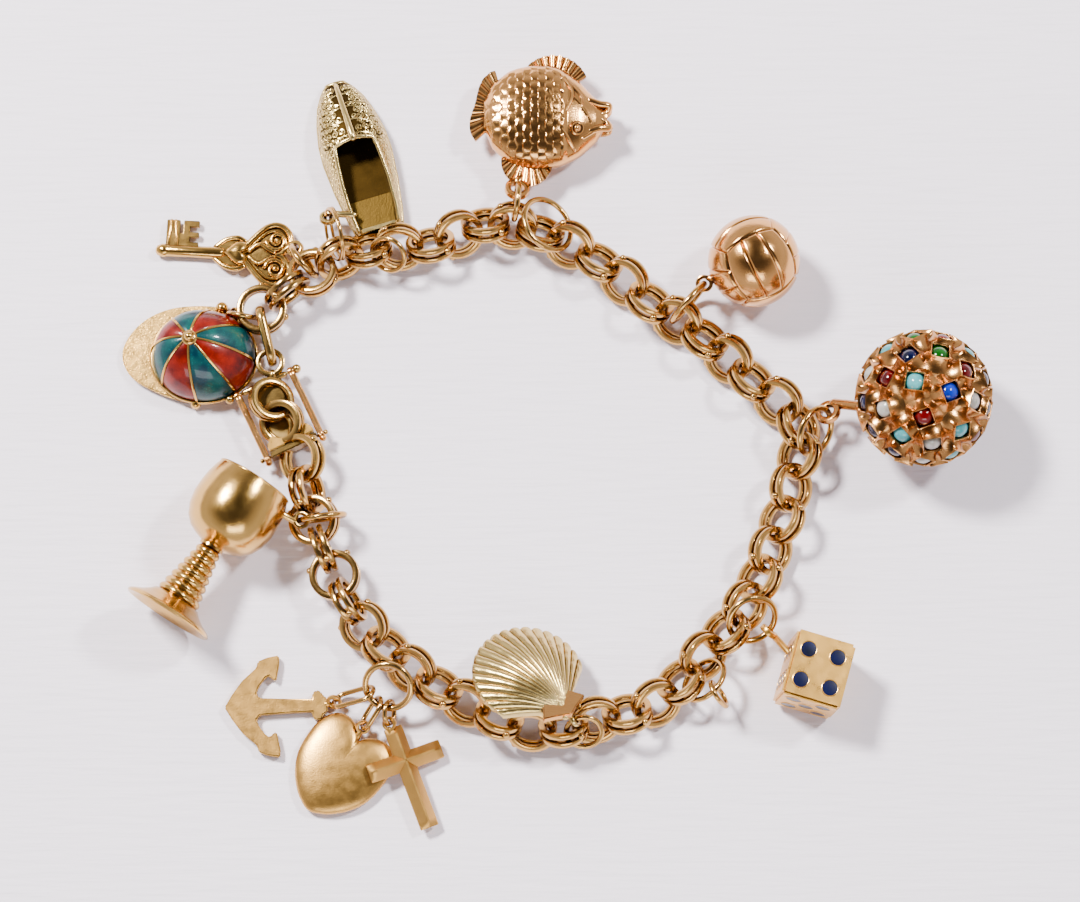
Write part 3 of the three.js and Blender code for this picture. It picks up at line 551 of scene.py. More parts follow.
def lean_of(link):
    """Degrees that a link leans, in between those the LEAN table gives."""
    for (low, low_lean), (high, high_lean) in zip(LEAN, LEAN[1:]):
        if link <= high:
            return low_lean + (high_lean - low_lean) * (link - low) / (high - low)
    return LEAN[-1][1]


def route_point(share):
    """The point a share of the way along the chain's centre line."""
    place = min(max(share, 0), 1) * (len(ROUTE) - 1)
    index = min(int(place), len(ROUTE) - 2)
    t = place - index
    one, two = ROUTE[index], ROUTE[index + 1]
    before = ROUTE[index - 1] if index else one * 2 - two
    after = ROUTE[index + 2] if index < len(ROUTE) - 2 else two * 2 - one
    return curve_point(before, one, two, after, t)


def link_frame(link):
    """A link's frame: x along the chain, y to its uppermost edge, z along the axis of its hole."""
    share = (link - 1) / LINKS
    along = (route_point(share + 1e-4) - route_point(share - 1e-4)).normalized()
    outward = Vector((-along.y, along.x, 0))
    lean = math.radians(lean_of(link))
    rest = LINK["cad_outer"] * math.cos(lean) + LINK["cad_width"] / 2 * math.sin(lean) + 0.03
    turn = lean - (0 if link % 2 == 0 else math.pi / 2)
    edge = Vector((0, 0, math.cos(turn))) + outward * math.sin(turn)
    place = Matrix((along, edge, along.cross(edge))).transposed().to_4x4()
    place.translation = route_point(share) + Vector((0, 0, rest))
    return place


def add_link(shells, link):
    """A double link: two flat-filed rings side by side with a dark gap between, and a solder bead."""
    place = link_frame(link)
    ring = band(LINK["outer"], LINK["inner"], LINK["ring"], 48, 0.2)
    for side in (-1, 1):
        tilt = Matrix.Rotation(math.radians(side * DRAWS.uniform(0.5, 2.8)), 4, "X")
        roll = Matrix.Rotation(math.radians(DRAWS.uniform(-1.2, 1.2)), 4, "Y")
        shells.add(ring, place @ shifted(0, 0, side * LINK["spread"]) @ tilt @ roll)
    forward = 1 if link % 2 else -1
    for height in (2.42, -2.42):
        bead = place @ shifted(1.72 * forward, height, -0.12 * forward)
        shells.add(ball(0.42, 14), bead)


def make_chain():
    """The links in their runs, one piece for each."""
    first = 1
    for index, count in enumerate(RUNS):
        shells = Shells()
        for link in range(first, first + count):
            add_link(shells, link)
        name = f"chain_run_{index + 1}"
        make_piece(f"{name}_fine", shells, [CHAIN_GOLD], [name])
        first += count


# ---------------------------------------------------------------- clasp


def clasp_frame():
    """The clasp's frame: y from the tongue's end to the eye, x across, on the table."""
    return level_frame((*CLASP["at"], 0), CLASP["turn"])


def rounded_box(low, high, bevel):
    outline = [(low[0], low[1]), (high[0], low[1]), (high[0], high[1]), (low[0], high[1])]
    return plate(outline, low[2], high[2], bevel)


def add_pins(shells, place, along, reaches, radius):
    """A pin out to each side at a reach from the middle line, with a ball on its end."""
    height = SAFETY_BAR["height"]
    for reach in reaches:
        side = math.copysign(1, reach)
        shells.add(tube([(2.2 * side, along, height), (reach, along, height)], 0.2), place)
        shells.add(ball(radius, 18), place @ shifted(reach, along, height))


def clasp_rings(shells, place, centre, tilt):
    """A double ring on the clasp that leans like the chain's."""
    turned = Matrix.Rotation(math.radians(tilt), 4, "Y")
    for level in (-0.42, 0.42):
        ring = band(2.7, 1.85, 0.7, 56, 0.2)
        shells.add(ring, place @ shifted(*centre) @ turned @ shifted(0, 0, level))


def make_clasp_box():
    """The box with two interlocked double rings on it, a flared plate at its mouth and an eye behind."""
    place = clasp_frame()
    shells = Shells()
    shells.add(rounded_box((-2.0, 0.3, 0.05), (2.0, 8.1, 1.3), 0.2), place, 1)
    for side in (-1, 1):
        wall = [(side * 2.1, 0.3), (side * 2.1, 8.1), (side * 1.8, 8.1), (side * 1.8, 0.3)]
        shells.add(plate(wall, 0.1, 1.75, 0.1), place)
    disc = [(1.9 * math.cos(FULL * i / 30) - 0.3, 6.0 + 1.9 * math.sin(FULL * i / 30)) for i in range(30)]
    shells.add(plate(disc, 1.2, 1.9, 0.08), place)
    flare = [
        (-2.85, 0.12), (2.85, 0.12), (2.85, 0.75), (2.3, 1.5), (1.75, 1.75), (1.5, 1.25), (1.0, 1.0),
        (0, 0.85), (-1.0, 1.0), (-1.5, 1.25), (-1.75, 1.75), (-2.3, 1.5), (-2.85, 0.75)]
    shells.add(plate(flare, 1.5, 2.95, 0.1), place, 2)
    clasp_rings(shells, place, (-0.1, 5.75, 2.5), 24)
    clasp_rings(shells, place, (-0.1, 2.75, 2.5), -24)
    inner = [(0.2, 1.0, 1.7), (0.9, 2.4, 2.0), (0.5, 4.2, 1.8)]
    shells.add(tube(smooth(inner), 0.4, sides=12), place)
    shells.add(band(1.75, 1.1, 0.8, 40, 0.22), place @ shifted(*CLASP_EYE))
    shells.add(tube([(0.9, 8.0, 2.1), (1.4, 8.6, 2.3)], 0.5), place)
    shells.add(tube([(-2.6, 8.0, 2.1), (2.6, 8.0, 2.1)], 0.36, sides=14), place)
    add_pins(shells, place, SAFETY_BAR["hinge"], (-4.5, 4.2), 0.56)
    make_piece("clasp_box_fine", shells, [CLASP_GOLD, SHADED_GOLD, BRIGHT_GOLD], ["clasp_box"])


def make_clasp_tongue():
    """The plate against the box's mouth, with the chain's last link on it."""
    place = clasp_frame()
    shells = Shells()
    shells.add(rounded_box((-2.95, -0.75, 0.4), (2.95, -0.02, 3.1), 0.14), place)
    add_link(shells, LINKS + 1)
    add_pins(shells, place, SAFETY_BAR["catch"], (-4.1, 4.1), 0.3)
    make_piece("clasp_tongue_fine", shells, [CLASP_GOLD], ["clasp_tongue"])


def make_safety_bar(name, side, body):
    """Two thin wires side by side, looped round the hinge pin and hooked over the catch pin."""
    place = clasp_frame() @ shifted(SAFETY_BAR["across"] * side, 0, SAFETY_BAR["height"])
    hinge, catch = SAFETY_BAR["hinge"], SAFETY_BAR["catch"]
    line = (
        (hinge - 0.7, 0.1), (hinge - 0.35, 0.42), (5.2, 0.4), (2.0, 0.4), (catch + 0.3, 0.44),
        (catch - 0.2, 0.46), (catch - 0.52, 0.2), (catch - 0.5, -0.2))
    shells = Shells()
    for across in (-0.16, 0.16):
        wire = smooth([(across, along, height) for along, height in line], 5)
        shells.add(tube(wire, 0.24, up=(1, 0, 0), sides=10), place)
    knuckle = place @ frame_at((0, hinge, 0), (1, 0, 0), (0, 1, 0))
    shells.add(band(0.5, 0.3, 0.66, 24, 0.08), knuckle)
    shells.add(ball(0.42, 16), place @ shifted(0.05 * side, catch - 0.55, 0.15))
    make_piece(f"{name}_fine", shells, [ROSE_GOLD], [name], body)


def make_connecting_link():
    """A heavy oval ring from the clasp's eye to the chain's first link."""
    eye = clasp_frame() @ Vector(CLASP_EYE)
    first = link_frame(1).translation
    along = first - eye
    place = frame_at((eye + first) / 2, (1, 0.25, 0), along)
    shells = Shells()
    shells.add(tube(oval_path(along.length + 0.2, 3.0), 0.46, closed=True, sides=14, flat=1.25), place)
    make_piece("connecting_link_fine", shells, [CLASP_GOLD], ["connecting_link"])


# ---------------------------------------------------------------- charms


def make_key():
    """A key with a heart-shaped bow of scrolls, a bud and a small heart on its stem, and a toothed bit."""
    place = level_frame((-32.6, 23.7, 0), -3)
    bow = [(y, x) for x, y in heart_outline(8, 7.2, 48)]
    shells = Shells()
    bow_rows = [(0.88, 0.1), (0.97, 0.3), (1, 0.7), (0.97, 1.05), (0.7, 1.1), (0.3, 1.15)]
    shells.add(cushion(bow, bow_rows), place)
    for scale, wire, height in ((0.93, 0.38, 1.2), (0.74, 0.2, 1.25)):
        rim = [(x * scale, y * scale, height) for x, y in bow]
        shells.add(tube(smooth(rim[::2], 3, closed=True), wire, closed=True), place)
    for side in (-1, 1):
        scroll = spiral((1.05, 1.75 * side), 1.25, 0.25, 1.6 * side, 190 * side, 1.32)
        shells.add(tube(scroll, [0.3 - 0.006 * i for i in range(len(scroll))]), place)
        wave = smooth([
            (-2.2, 0.3 * side, 1.3), (-1.0, 1.2 * side, 1.45), (0.1, 0.6 * side, 1.5),
            (0.9, 0.25 * side, 1.4)])
        shells.add(tube(wave, 0.24), place)
        shells.add(ball(0.36, 14), place @ shifted(1.05, 1.75 * side, 1.4))
        leaf = smooth([
            (-6.2, 0.7 * side, 0.9), (-5.0, 1.6 * side, 1.1), (-3.6, 1.9 * side, 1.2),
            (-2.7, 1.5 * side, 1.1)])
        shells.add(tube(leaf, 0.34), place)
    bud = [(-6.3, -0.7), (-4.8, -1.8), (-2.8, -1.7), (-2.2, 0), (-2.8, 1.7), (-4.8, 1.8), (-6.3, 0.7)]
    shells.add(plate(bud, 0.15, 1.2, 0.2), place)
    little = [(y, x) for x, y in heart_outline(3.0, 3.2, 32)]
    little_rows = [(1, 1.1), (0.98, 1.5), (0.85, 1.75), (0.55, 1.95), (0.2, 2.02)]
    shells.add(cushion(little, little_rows), place @ shifted(-3.6, 0, 0))
    shells.add(tube([(-12.3, 0, 0.85), (-9, 0, 0.85), (-5.6, 0, 0.85)], [0.72, 0.68, 0.76], sides=20), place)
    shells.add(tube([(-12.6, 0, 0.85), (-12.2, 0, 0.85)], 0.8, sides=20), place)
    shells.add(plate([(-12.2, 0.3), (-10.6, 0.3), (-10.6, 3.8), (-12.2, 3.8)], 0.3, 1.15, 0.08), place)
    teeth = [(-10.9, 0.3), (-8.3, 0.3), (-8.3, 1.15), (-9.4, 1.15), (-9.4, 1.75), (-8.3, 1.75), (-8.3, 2.4)]
    teeth += [(-9.4, 2.4), (-9.4, 3.05), (-8.3, 3.05), (-8.3, 3.8), (-10.2, 3.8), (-10.2, 2.2), (-10.9, 2.2)]
    shells.add(plate(teeth, 0.35, 1.05, 0.08), place)
    for x in (-11.9, -10.9):
        shells.add(tube([(x, 0.5, 1.15), (x + 0.25 * (1 if x < -11 else -1), 3.7, 1.15)], 0.16), place)
    add_shells(shells, eye_shells("key_jump_ring", (-31.2, 23.6, 1)))
    make_piece("key_fine", shells, [YELLOW_GOLD], ["key"])


# Along the sole from toe (0) to heel (1): half-width and height.
SLIPPER = (
    (0, 1.1, 1.4), (0.04, 1.8, 2.1), (0.12, 2.7, 3.0), (0.24, 3.45, 3.9), (0.38, 3.95, 4.6),
    (0.5, 4.05, 4.6), (0.7, 3.75, 4.1), (0.9, 3.2, 3.4), (1.0, 2.8, 3.1),
)
SLIPPER_LENGTH = 18.73
SLIPPER_OPENING = 0.43


def slipper_size(u):
    """Half-width and height of the slipper a share u of the way from toe to heel."""
    for (low, half_low, top_low), (high, half_high, top_high) in zip(SLIPPER, SLIPPER[1:]):
        if u <= high:
            t = (u - low) / (high - low)
            return half_low + (half_high - half_low) * t, top_low + (top_high - top_low) * t
    return SLIPPER[-1][1:]


def slipper_point(u, across, inset=0.0):
    """A point of the upper: across is -1 at one edge of the sole, 0 on the middle line, 1 at the other."""
    half, top = slipper_size(u)
    angle = math.pi / 2 * max(1 - abs(across), 0)
    x = math.copysign((half - inset) * math.cos(angle), across)
    return Vector((x, u * SLIPPER_LENGTH, 0.7 + (top - 0.7 - inset) * math.sin(angle) ** 0.75))


def slipper_edge(u):
    """How far across the upper's edge is at u: 0 on the closed vamp, then out to the opening's rim."""
    if u <= SLIPPER_OPENING:
        return 0.0
    past = u - SLIPPER_OPENING
    return 0.4 * min(past / 0.02, 1) ** 0.5 + 0.3 * max(past - 0.02, 0) / 0.55


def slipper_rows():
    """Shares of the length, close together where the opening starts."""
    shares = [SLIPPER_OPENING * i / 20 for i in range(21)]
    shares += [SLIPPER_OPENING + 0.02 * (i / 6) ** 2 for i in range(1, 7)]
    start = shares[-1]
    return shares + [start + (1 - start) * i / 24 for i in range(1, 25)]


def slipper_side(side, lowest=0.0, grow=0.0):
    """One side of the upper. A lowest share makes a strip along the sole that widens beside the opening."""
    loops = []
    for u in slipper_rows():
        edge = max(slipper_edge(u), lowest * min(max((0.6 - u) / 0.17, 0), 1))
        row = [1 - (1 - edge) * j / 14 for j in range(15)]
        outside = [slipper_point(u, side * max(across, 1e-4), -grow) for across in row]
        inside = [slipper_point(u, side * max(across, 1e-4), 0.35) for across in reversed(row)]
        loops.append(outside + inside)
    return loft(loops)


def curl(shells, place, u, across, size, turns, first, wire=0.13):
    """A little scroll of wire on the slipper's upper."""
    path = []
    for x, y, _ in spiral((0, 0), size, 0.12, turns, first, 0, 16):
        half = slipper_size(u)[0]
        share = min(max(abs(across) + x / (half * 1.5), 0.03), 0.98)
        on_upper = min(max(u + y / SLIPPER_LENGTH, 0.01), 0.995)
        if share > slipper_edge(on_upper) + 0.02:
            path.append(slipper_point(on_upper, math.copysign(share, across)))
    if len(path) > 3:
        shells.add(tube(path, wire, sides=6), place)


def add_filigree(shells, place, side):
    """Scrolls in rows over the vamp and along the side, and four arcs across the vamp."""
    for row in range(9):
        u = 0.055 + 0.045 * row
        for column in range(6):
            across = 0.13 + 0.15 * column + (0.05 if row % 2 else 0)
            if across * slipper_size(u)[0] > 0.5 and across < 0.97:
                turns = 1.3 if (row + column) % 2 else -1.3
                curl(shells, place, u, side * across, 0.42, turns, 70 * row + 130 * column)
    for row in range(15):
        u = 0.46 + 0.036 * row
        for column in range(4):
            across = max(slipper_edge(u) + 0.09, 0.5) + 0.13 * column
            if across < 0.97:
                turns = 1.2 if row % 2 else -1.2
                curl(shells, place, u, side * across, 0.36, turns, 90 * row + 60 * column, 0.11)
    for start in (0.1, 0.2, 0.3, 0.4):
        arc = [slipper_point(start + 0.16 * (t / 10) ** 2, side * (0.06 + 0.84 * t / 10)) for t in range(11)]
        shells.add(tube(arc, 0.13, sides=6), place)


def make_slipper():
    toe, heel = Vector((-24.7, 44.9, 0)), Vector((-19.2, 27.0, 0))
    place = frame_at(toe, (0, 0, 1), (heel.y - toe.y, toe.x - heel.x, 0))
    outline = []
    for side in (1, -1):
        shares = [i / 24 for i in range(25)]
        for u in shares if side > 0 else reversed(shares):
            outline.append((side * (slipper_size(u)[0] + 0.1), u * SLIPPER_LENGTH))
    shells = Shells()
    shells.add(plate(outline, 0.1, 0.8, 0.15), place)
    # Painted shade: the lining is a near-black copy of the gold and the heel pad a less dark one, standing in
    # for the shade inside the slipper.
    lining = [(x * 0.86, min(y, 0.985 * SLIPPER_LENGTH)) for x, y in outline if y > 0.2 * SLIPPER_LENGTH]
    shells.add(plate(lining, 0.7, 0.95, 0.05), place, 1)
    pad = [(x * 0.84, y) for x, y in lining if y > 0.76 * SLIPPER_LENGTH]
    shells.add(plate(pad, 0.9, 1.3, 0.08), place, 2)
    for side in (-1, 1):
        # The inner skin of each side is the same painted shade, showing dark between the filigree's scrolls;
        # the outer strip is plain gold.
        shells.add(slipper_side(side), place, 1)
        shells.add(slipper_side(side, 0.72, 0.05), place)
        add_filigree(shells, place, side)
        foot = [slipper_point(i / 40, side * 0.99) + Vector((0, 0, 0.1)) for i in range(41)]
        shells.add(tube(foot, 0.26), place)
    toe_cap = [slipper_point(0, t / 6 - 1 + 1e-4) for t in range(13)]
    shells.add(tube(toe_cap, 0.3), place)
    counter = [slipper_point(1, side * across) for side, across in
               ((-1, 1.0), (-1, 0.85), (-1, 0.7), (-1, 0.5), (1, 0.5), (1, 0.7), (1, 0.85), (1, 1.0))]
    shells.add(loft([[point + Vector((0, back, 0)) for point in counter] for back in (-0.1, 0.35)]), place)
    rows = [u for u in reversed(slipper_rows()) if u >= SLIPPER_OPENING]
    rim = [slipper_point(u, -slipper_edge(u) - 1e-4) for u in rows]
    rim += [Vector((-point.x, point.y, point.z)) for point in reversed(rim[:-1])]
    shells.add(tube(rim, 0.27, sides=12), place)
    ridge = [slipper_point(0.02 + 0.41 * i / 14, 1e-4) + Vector((0, 0, 0.12)) for i in range(15)]
    shells.add(tube(ridge, [0.3 + 0.012 * i for i in range(15)], sides=12), place)
    add_shells(shells, eye_shells("slipper_jump_ring", (-22.2, 28.3, 2.4)))
    make_piece("slipper_fine", shells, [GREEN_GOLD, PAINTED_SHADE_INSIDE_GOLD, PAINTED_SHADE_PAD_GOLD], ["slipper"])


# Along the fish from tail to mouth: lowest and highest edge and half its thickness.
FISH = (
    (-7.4, -1.4, 2.2, 1.0), (-6.4, -3.6, 4.2, 1.9), (-4.4, -5.4, 5.9, 2.6), (-1.6, -6.2, 6.6, 3.1),
    (1.4, -5.9, 6.4, 3.1), (4.0, -4.7, 4.6, 2.6), (6.0, -2.9, 2.5, 1.8), (7.3, -1.2, 1.5, 1.1),
)


def fish_size(x):
    """Lowest edge, highest edge and half the thickness of the fish's body at x, on a smooth curve."""
    index = max(i for i in range(len(FISH) - 1) if FISH[i][0] <= x + 1e-9)
    one, two = FISH[index], FISH[index + 1]
    before, after = FISH[max(index - 1, 0)], FISH[min(index + 2, len(FISH) - 1)]
    t = (x - one[0]) / (two[0] - one[0])
    return [curve_point(*values, t) for values in zip(before[1:], one[1:], two[1:], after[1:])]


def fish_top(x, y):
    """The height of the fish's side above its middle plane."""
    low, high, half = fish_size(max(min(x, 7.3), -7.4))
    share = (2 * y - low - high) / (high - low)
    return half * max(1 - share * share, 0) ** 0.42


def scale_relief(x, y):
    """The height of round scales that overlap towards the tail."""
    pitch, width, reach = 0.9, 1.6, 0.98
    row = math.floor(x / pitch)
    for step in range(row + 2, row - 3, -1):
        shift = 0.5 * (step % 2)
        column = math.floor(y / width - shift) + 0.5 + shift
        along, across = x - step * pitch, y - column * width
        if math.hypot(along, across) < reach:
            return 0.13 * (1 - along / reach) * (1.2 - 0.7 * (across / reach) ** 2)
    return 0.0


def fan(root, first, last, reach, height, ribs, thick=0.5):
    """A ribbed fin: a fan about root from one angle to another, its edge at reach(share)."""
    loops = []
    columns = ribs * 6
    for i in range(columns + 1):
        share = i / columns
        angle = math.radians(first + (last - first) * share)
        wave = 0.3 * abs(math.sin(math.pi * i / 6)) ** 0.8
        top, under = [], []
        for j in range(7):
            out = reach(share) * (0.12 + 0.88 * j / 6)
            x, y = root[0] + out * math.cos(angle), root[1] + out * math.sin(angle)
            level = height + wave * j / 6 + 0.25 * (1 - j / 6)
            top.append((x, y, level))
            under.append((x, y, level - thick))
        loops.append(top + under[::-1])
    return loft(loops)


def make_fish():
    place = shifted(0.7, 39.9, 3.25)
    loops = []
    for i in range(151):
        x = -7.4 + 14.7 * i / 150
        low, high, half = fish_size(x)
        loop = []
        for j in range(160):
            angle = FULL * j / 160
            y = (low + high) / 2 + (high - low) / 2 * math.cos(angle)
            lift = abs(math.sin(angle))
            z = half * lift ** 0.84
            if x < 2.6 and lift > 0.2:
                fade = min((2.6 - x) / 0.5, 1) * min((lift - 0.2) / 0.25, 1)
                z += scale_relief(x, y) * fade
            loop.append((x, y, math.copysign(z, math.sin(angle))))
        loops.append(loop)
    shells = Shells()
    shells.add(loft(loops), place)
    shells.add(fan((-4.6, 1.0), 106, 224, lambda t: 5.3 - 1.3 * math.sin(math.pi * t) ** 2, 0.0, 9), place)
    shells.add(fan((0.8, 2.5), 136, 34, lambda t: 4.9 + 0.5 * math.sin(math.pi * t), 0.3, 10), place)
    shells.add(fan((-2.0, -3.2), 206, 320, lambda t: 3.7 + 1.5 * math.sin(math.pi * t), 0.1, 9), place)

    def line_on(points, wire):
        """A raised line over the fish's side through [x, y] points."""
        path = [(p.x, p.y, fish_top(p.x, p.y) + 0.02) for p in smooth([(*point, 0) for point in points])]
        shells.add(tube(path, wire, sides=8), place)

    line_on([(2.2, 4.6), (3.2, 2.6), (2.6, 0.6), (1.6, -1.2), (2.6, -3.0), (3.4, -4.3)], 0.24)
    line_on([(3.0, 3.6), (4.2, 2.2), (4.3, 0.8), (5.0, -0.2)], 0.18)
    line_on([(3.4, 2.0), (4.8, 0.4), (5.4, -1.0)], 0.16)
    line_on([(4.4, -2.9), (5.4, -2.2), (6.2, -1.5)], 0.2)
    for number in range(4):
        line_on([(-0.2 + 0.5 * number, 2.9), (0.6 + 0.5 * number, 1.4), (0.7 + 0.4 * number, -0.1)], 0.2)
    for number in range(5):
        line_on([(-2.8 + 0.9 * number, 5.0), (-2.2 + 0.95 * number, 3.6 + 0.1 * number)], 0.15)
    eye_height = fish_top(3.7, -1.8)
    eye = place @ frame_at((3.7, -1.8, eye_height), (0.35, -0.25, 1), (1, 0, 0))
    shells.add(torus(0.72, 0.17, 28, 8), eye)
    shells.add(torus(0.36, 0.1, 24, 8), eye @ shifted(0, 0, 0.12))
    shells.add(ball(0.5, 16), eye @ shifted(0, 0, -0.1))
    for bend, level in ((1, 1.15), (-1, 0.95)):
        lip = smooth([
            (5.2, 1.9 * bend, 1.5), (6.4, 1.5 * bend, 1.4), (7.5, 1.35 * bend, level),
            (7.3, 0.75 * bend, 0.7), (6.5, 0.3 * bend, 1.0)])
        shells.add(tube(lip, 0.46, sides=12), place)
        under_lip = [(point.x, point.y, -point.z * 0.8) for point in lip]
        shells.add(tube(under_lip, 0.42, sides=12), place)
    add_shells(shells, eye_shells("fish_jump_ring", (-2, 32.8, 2.9), *LARGE_EYE))
    make_piece("fish_fine", shells, [ROSE_GOLD], ["fish"])


def cube_ball(radius, steps, relief):
    """A ball from a cube's six faces, lowered by relief(a, b) where a and b go from -1 to 1 over a face."""
    points, faces = [], []
    for axis in range(3):
        for sign in (-1, 1):
            first = len(points)
            for i in range(steps + 1):
                for j in range(steps + 1):
                    a, b = 2 * i / steps - 1, 2 * j / steps - 1
                    direction = [0.0, 0.0, 0.0]
                    direction[axis] = float(sign)
                    direction[(axis + 1) % 3] = math.tan(a * math.pi / 4)
                    direction[(axis + 2) % 3] = math.tan(b * math.pi / 4)
                    points.append(Vector(direction).normalized() * (radius - relief(a, b)))
            for i in range(steps):
                for j in range(steps):
                    corner = first + i * (steps + 1) + j
                    faces.append((corner, corner + 1, corner + steps + 2, corner + steps + 1))
    return points, faces


def make_volleyball():
    """A ball of six faces of three panels each, with a seam round every panel."""
    radius, seam_depth, seam_width = 5.45, 0.22, 0.15

    def groove(a, b):
        """How deep the nearest seam is at a place on a face."""
        distance = min(abs(abs(a) - 1 / 3), 1 - abs(a), 1 - abs(b)) * radius * math.pi / 4
        return seam_depth * math.exp(-((distance / seam_width) ** 2))

    turn = Matrix.Rotation(math.radians(28), 4, "Z") @ Matrix.Rotation(math.radians(24), 4, "X")
    shells = Shells()
    shells.add(cube_ball(radius, 72, groove), shifted(25.3, 21.8, 5.5) @ turn)
    add_shells(shells, eye_shells("ball_jump_ring", (22, 19.5, 5)))
    make_piece("volleyball_fine", shells, [ROSE_GOLD], ["ball"])


# Rows of stones round an upright axis that leans a little to -y: each row's degrees from the axis,
# the degrees round it of the row's first stone, and the stones.
JEWEL_ROWS = (
    (19, 14, ("sapphire", "turquoise", "ruby")),
    (45, 35, ("ruby", "emerald", "navy", "ruby", "pearl", "turquoise", "pearl", "turquoise", "pearl")),
    (71, 18, (
        "navy", "turquoise", "ruby", "emerald", "turquoise", "pearl", "navy", "navy", "navy", "pearl",
        "turquoise", "ruby", "navy")),
    (97, 4, (
        "pearl", "ruby", "sapphire", "turquoise", "navy", "pearl", "emerald", "ruby", "turquoise", "pearl",
        "sapphire", "emerald", "turquoise")),
    (123, 20, (
        "turquoise", "navy", "ruby", "pearl", "emerald", "turquoise", "ruby", "pearl", "sapphire",
        "turquoise", "navy")),
    (149, 5, ("ruby", "pearl", "turquoise", "navy", "ruby", "emerald", "pearl")),
    (173, 0, ("pearl",)),
)


def diamond_share(angle, corner):
    """How far out a rim is at an angle, against a round one; corner goes from 0, round, to 1, a diamond."""
    return 1 + corner * (1 / (abs(math.cos(angle)) + abs(math.sin(angle))) ** 1.5 - 0.83)


def collet():
    """A turned-out tube of gold round a stone, round at its foot and four-cornered at its rim."""
    profile = [
        (2.3, -1.0, 0), (1.85, -0.6, 0), (1.58, -0.15, 0.1), (1.44, 0.25, 0.35), (1.4, 0.52, 0.65),
        (1.42, 0.72, 0.85), (1.36, 0.8, 0.9), (1.27, 0.74, 0.85), (1.2, 0.5, 0.75), (1.14, 0.1, 0.4),
        (1.12, -0.3, 0.1), (0.2, -0.3, 0)]
    loops = []
    for i in range(48):
        angle = FULL * i / 48
        loop = []
        for radius, height, corner in profile:
            reach = radius * diamond_share(angle, corner)
            loop.append((reach * math.cos(angle), reach * math.sin(angle), height))
        loops.append(loop)
    return loft(loops, ring=True)


def make_jewelled_ball():
    """A ball covered with stones in gold collets, one more piece for each kind of stone."""
    centre = Vector((44.8, 4.6, 8.05))
    axes = frame_at(centre, (0, -0.2, 0.98), (1, 0, 0))
    gold_shells = Shells()
    # The ball's body takes the darker copy of the gold, painted shade for the shade between the collets.
    gold_shells.add(ball(6.6, 64), shifted(*centre), 1)
    stones = {name: Shells() for name in STONES}
    rim = collet()
    side = [(1.12 * math.cos(a), 0.85 * math.sin(a)) for a in (0.0, 0.25, 0.5, 0.75, 1.0, 1.2, 1.4)]
    dome = lathe([(0, -0.35), (1.1, -0.35), *side, (0, 0.86)], 28)
    for tilt, first, names in JEWEL_ROWS:
        for number, name in enumerate(names):
            turn = math.radians(first + 360 * number / len(names))
            lean = math.radians(tilt)
            direction = Vector((
                math.sin(lean) * math.cos(turn), math.sin(lean) * math.sin(turn), math.cos(lean)))
            outward = (axes.to_3x3() @ direction).normalized()
            spin = Matrix.Rotation(DRAWS.uniform(0, math.pi / 2), 4, "Z")
            seat = frame_facing(centre + outward * 7.15, outward) @ spin
            gold_shells.add(rim, seat)
            stones[name].add(dome, seat)
    add_shells(gold_shells, eye_shells("jewelled_ball_jump_ring", (40, 3.6, 7), *LARGE_EYE))
    materials = [JEWEL_GOLD, PAINTED_SHADE_BALL_GOLD]
    make_piece("jewelled_ball_fine", gold_shells, materials, ["jewelled_ball"], sharp=75)
    for name, shells in stones.items():
        slot, material = STONES[name]
        make_piece(f"stones_{name}", shells, [material])


# The faces of the die: the way each looks, its right and its spots on a grid from -1 to 1.
DIE_FACES = (
    ((0, 0, 1), (1, 0, 0), ((-1, -1), (-1, 1), (1, -1), (1, 1))),
    ((0, 0, -1), (1, 0, 0), ((-1, -1), (0, 0), (1, 1))),
    ((-1, 0, 0), (0, 1, 0), ((-1, -1), (-1, 0), (-1, 1), (1, -1), (1, 0), (1, 1))),
    ((1, 0, 0), (0, 1, 0), ((0, 0),)),
    ((0, -1, 0), (1, 0, 0), ((-1, -1), (-1, 1), (1, -1), (1, 1), (0, 0))),
    ((0, 1, 0), (1, 0, 0), ((-1, 1), (1, -1))),
)


def make_die():
    half = Vector((3.5, 3.95, 3.65))
    place = frame_at((31.4, -27.5, 0.1), (0.1, 0.03, 1), (1, -0.28, 0)) @ shifted(0, 0, 4.1)
    shells, spots = Shells(), Shells()
    shells.add(rounded_box(-half, half, 0.32), place)
    for way, right, grid in DIE_FACES:
        out = Vector(way)
        reach = abs(out.x * half.x) + abs(out.y * half.y) + abs(out.z * half.z)
        face = place @ frame_at(out * reach, way, right)
        for x, y in grid:
            spot = face @ shifted(x * 1.75, y * 1.85, 0)
            shells.add(torus(0.95, 0.07, 36, 8), spot)
            spots.add(lathe([(0, -0.2), (0.9, -0.2), (0.9, 0.02), (0.6, 0.05), (0, 0.06)], 36), spot)
    add_shells(shells, eye_shells("die_jump_ring", (29.5, -25.5, 4.2)))
    make_piece("die_fine", shells, [BRIGHT_GOLD], ["die"])
    make_piece("die_spots", spots, [ENAMEL_NAVY])


# The scallop: its hinge, radius and number of ribs, and in degrees the way it opens, how far and
# which way it droops, and half its spread.
SHELL = {
    "hinge": (2.9, -32.6, 6.8), "turn": 124, "droop": 29, "droop_turn": 76,
    "radius": 13.2, "spread": 56, "ribs": 19,
}


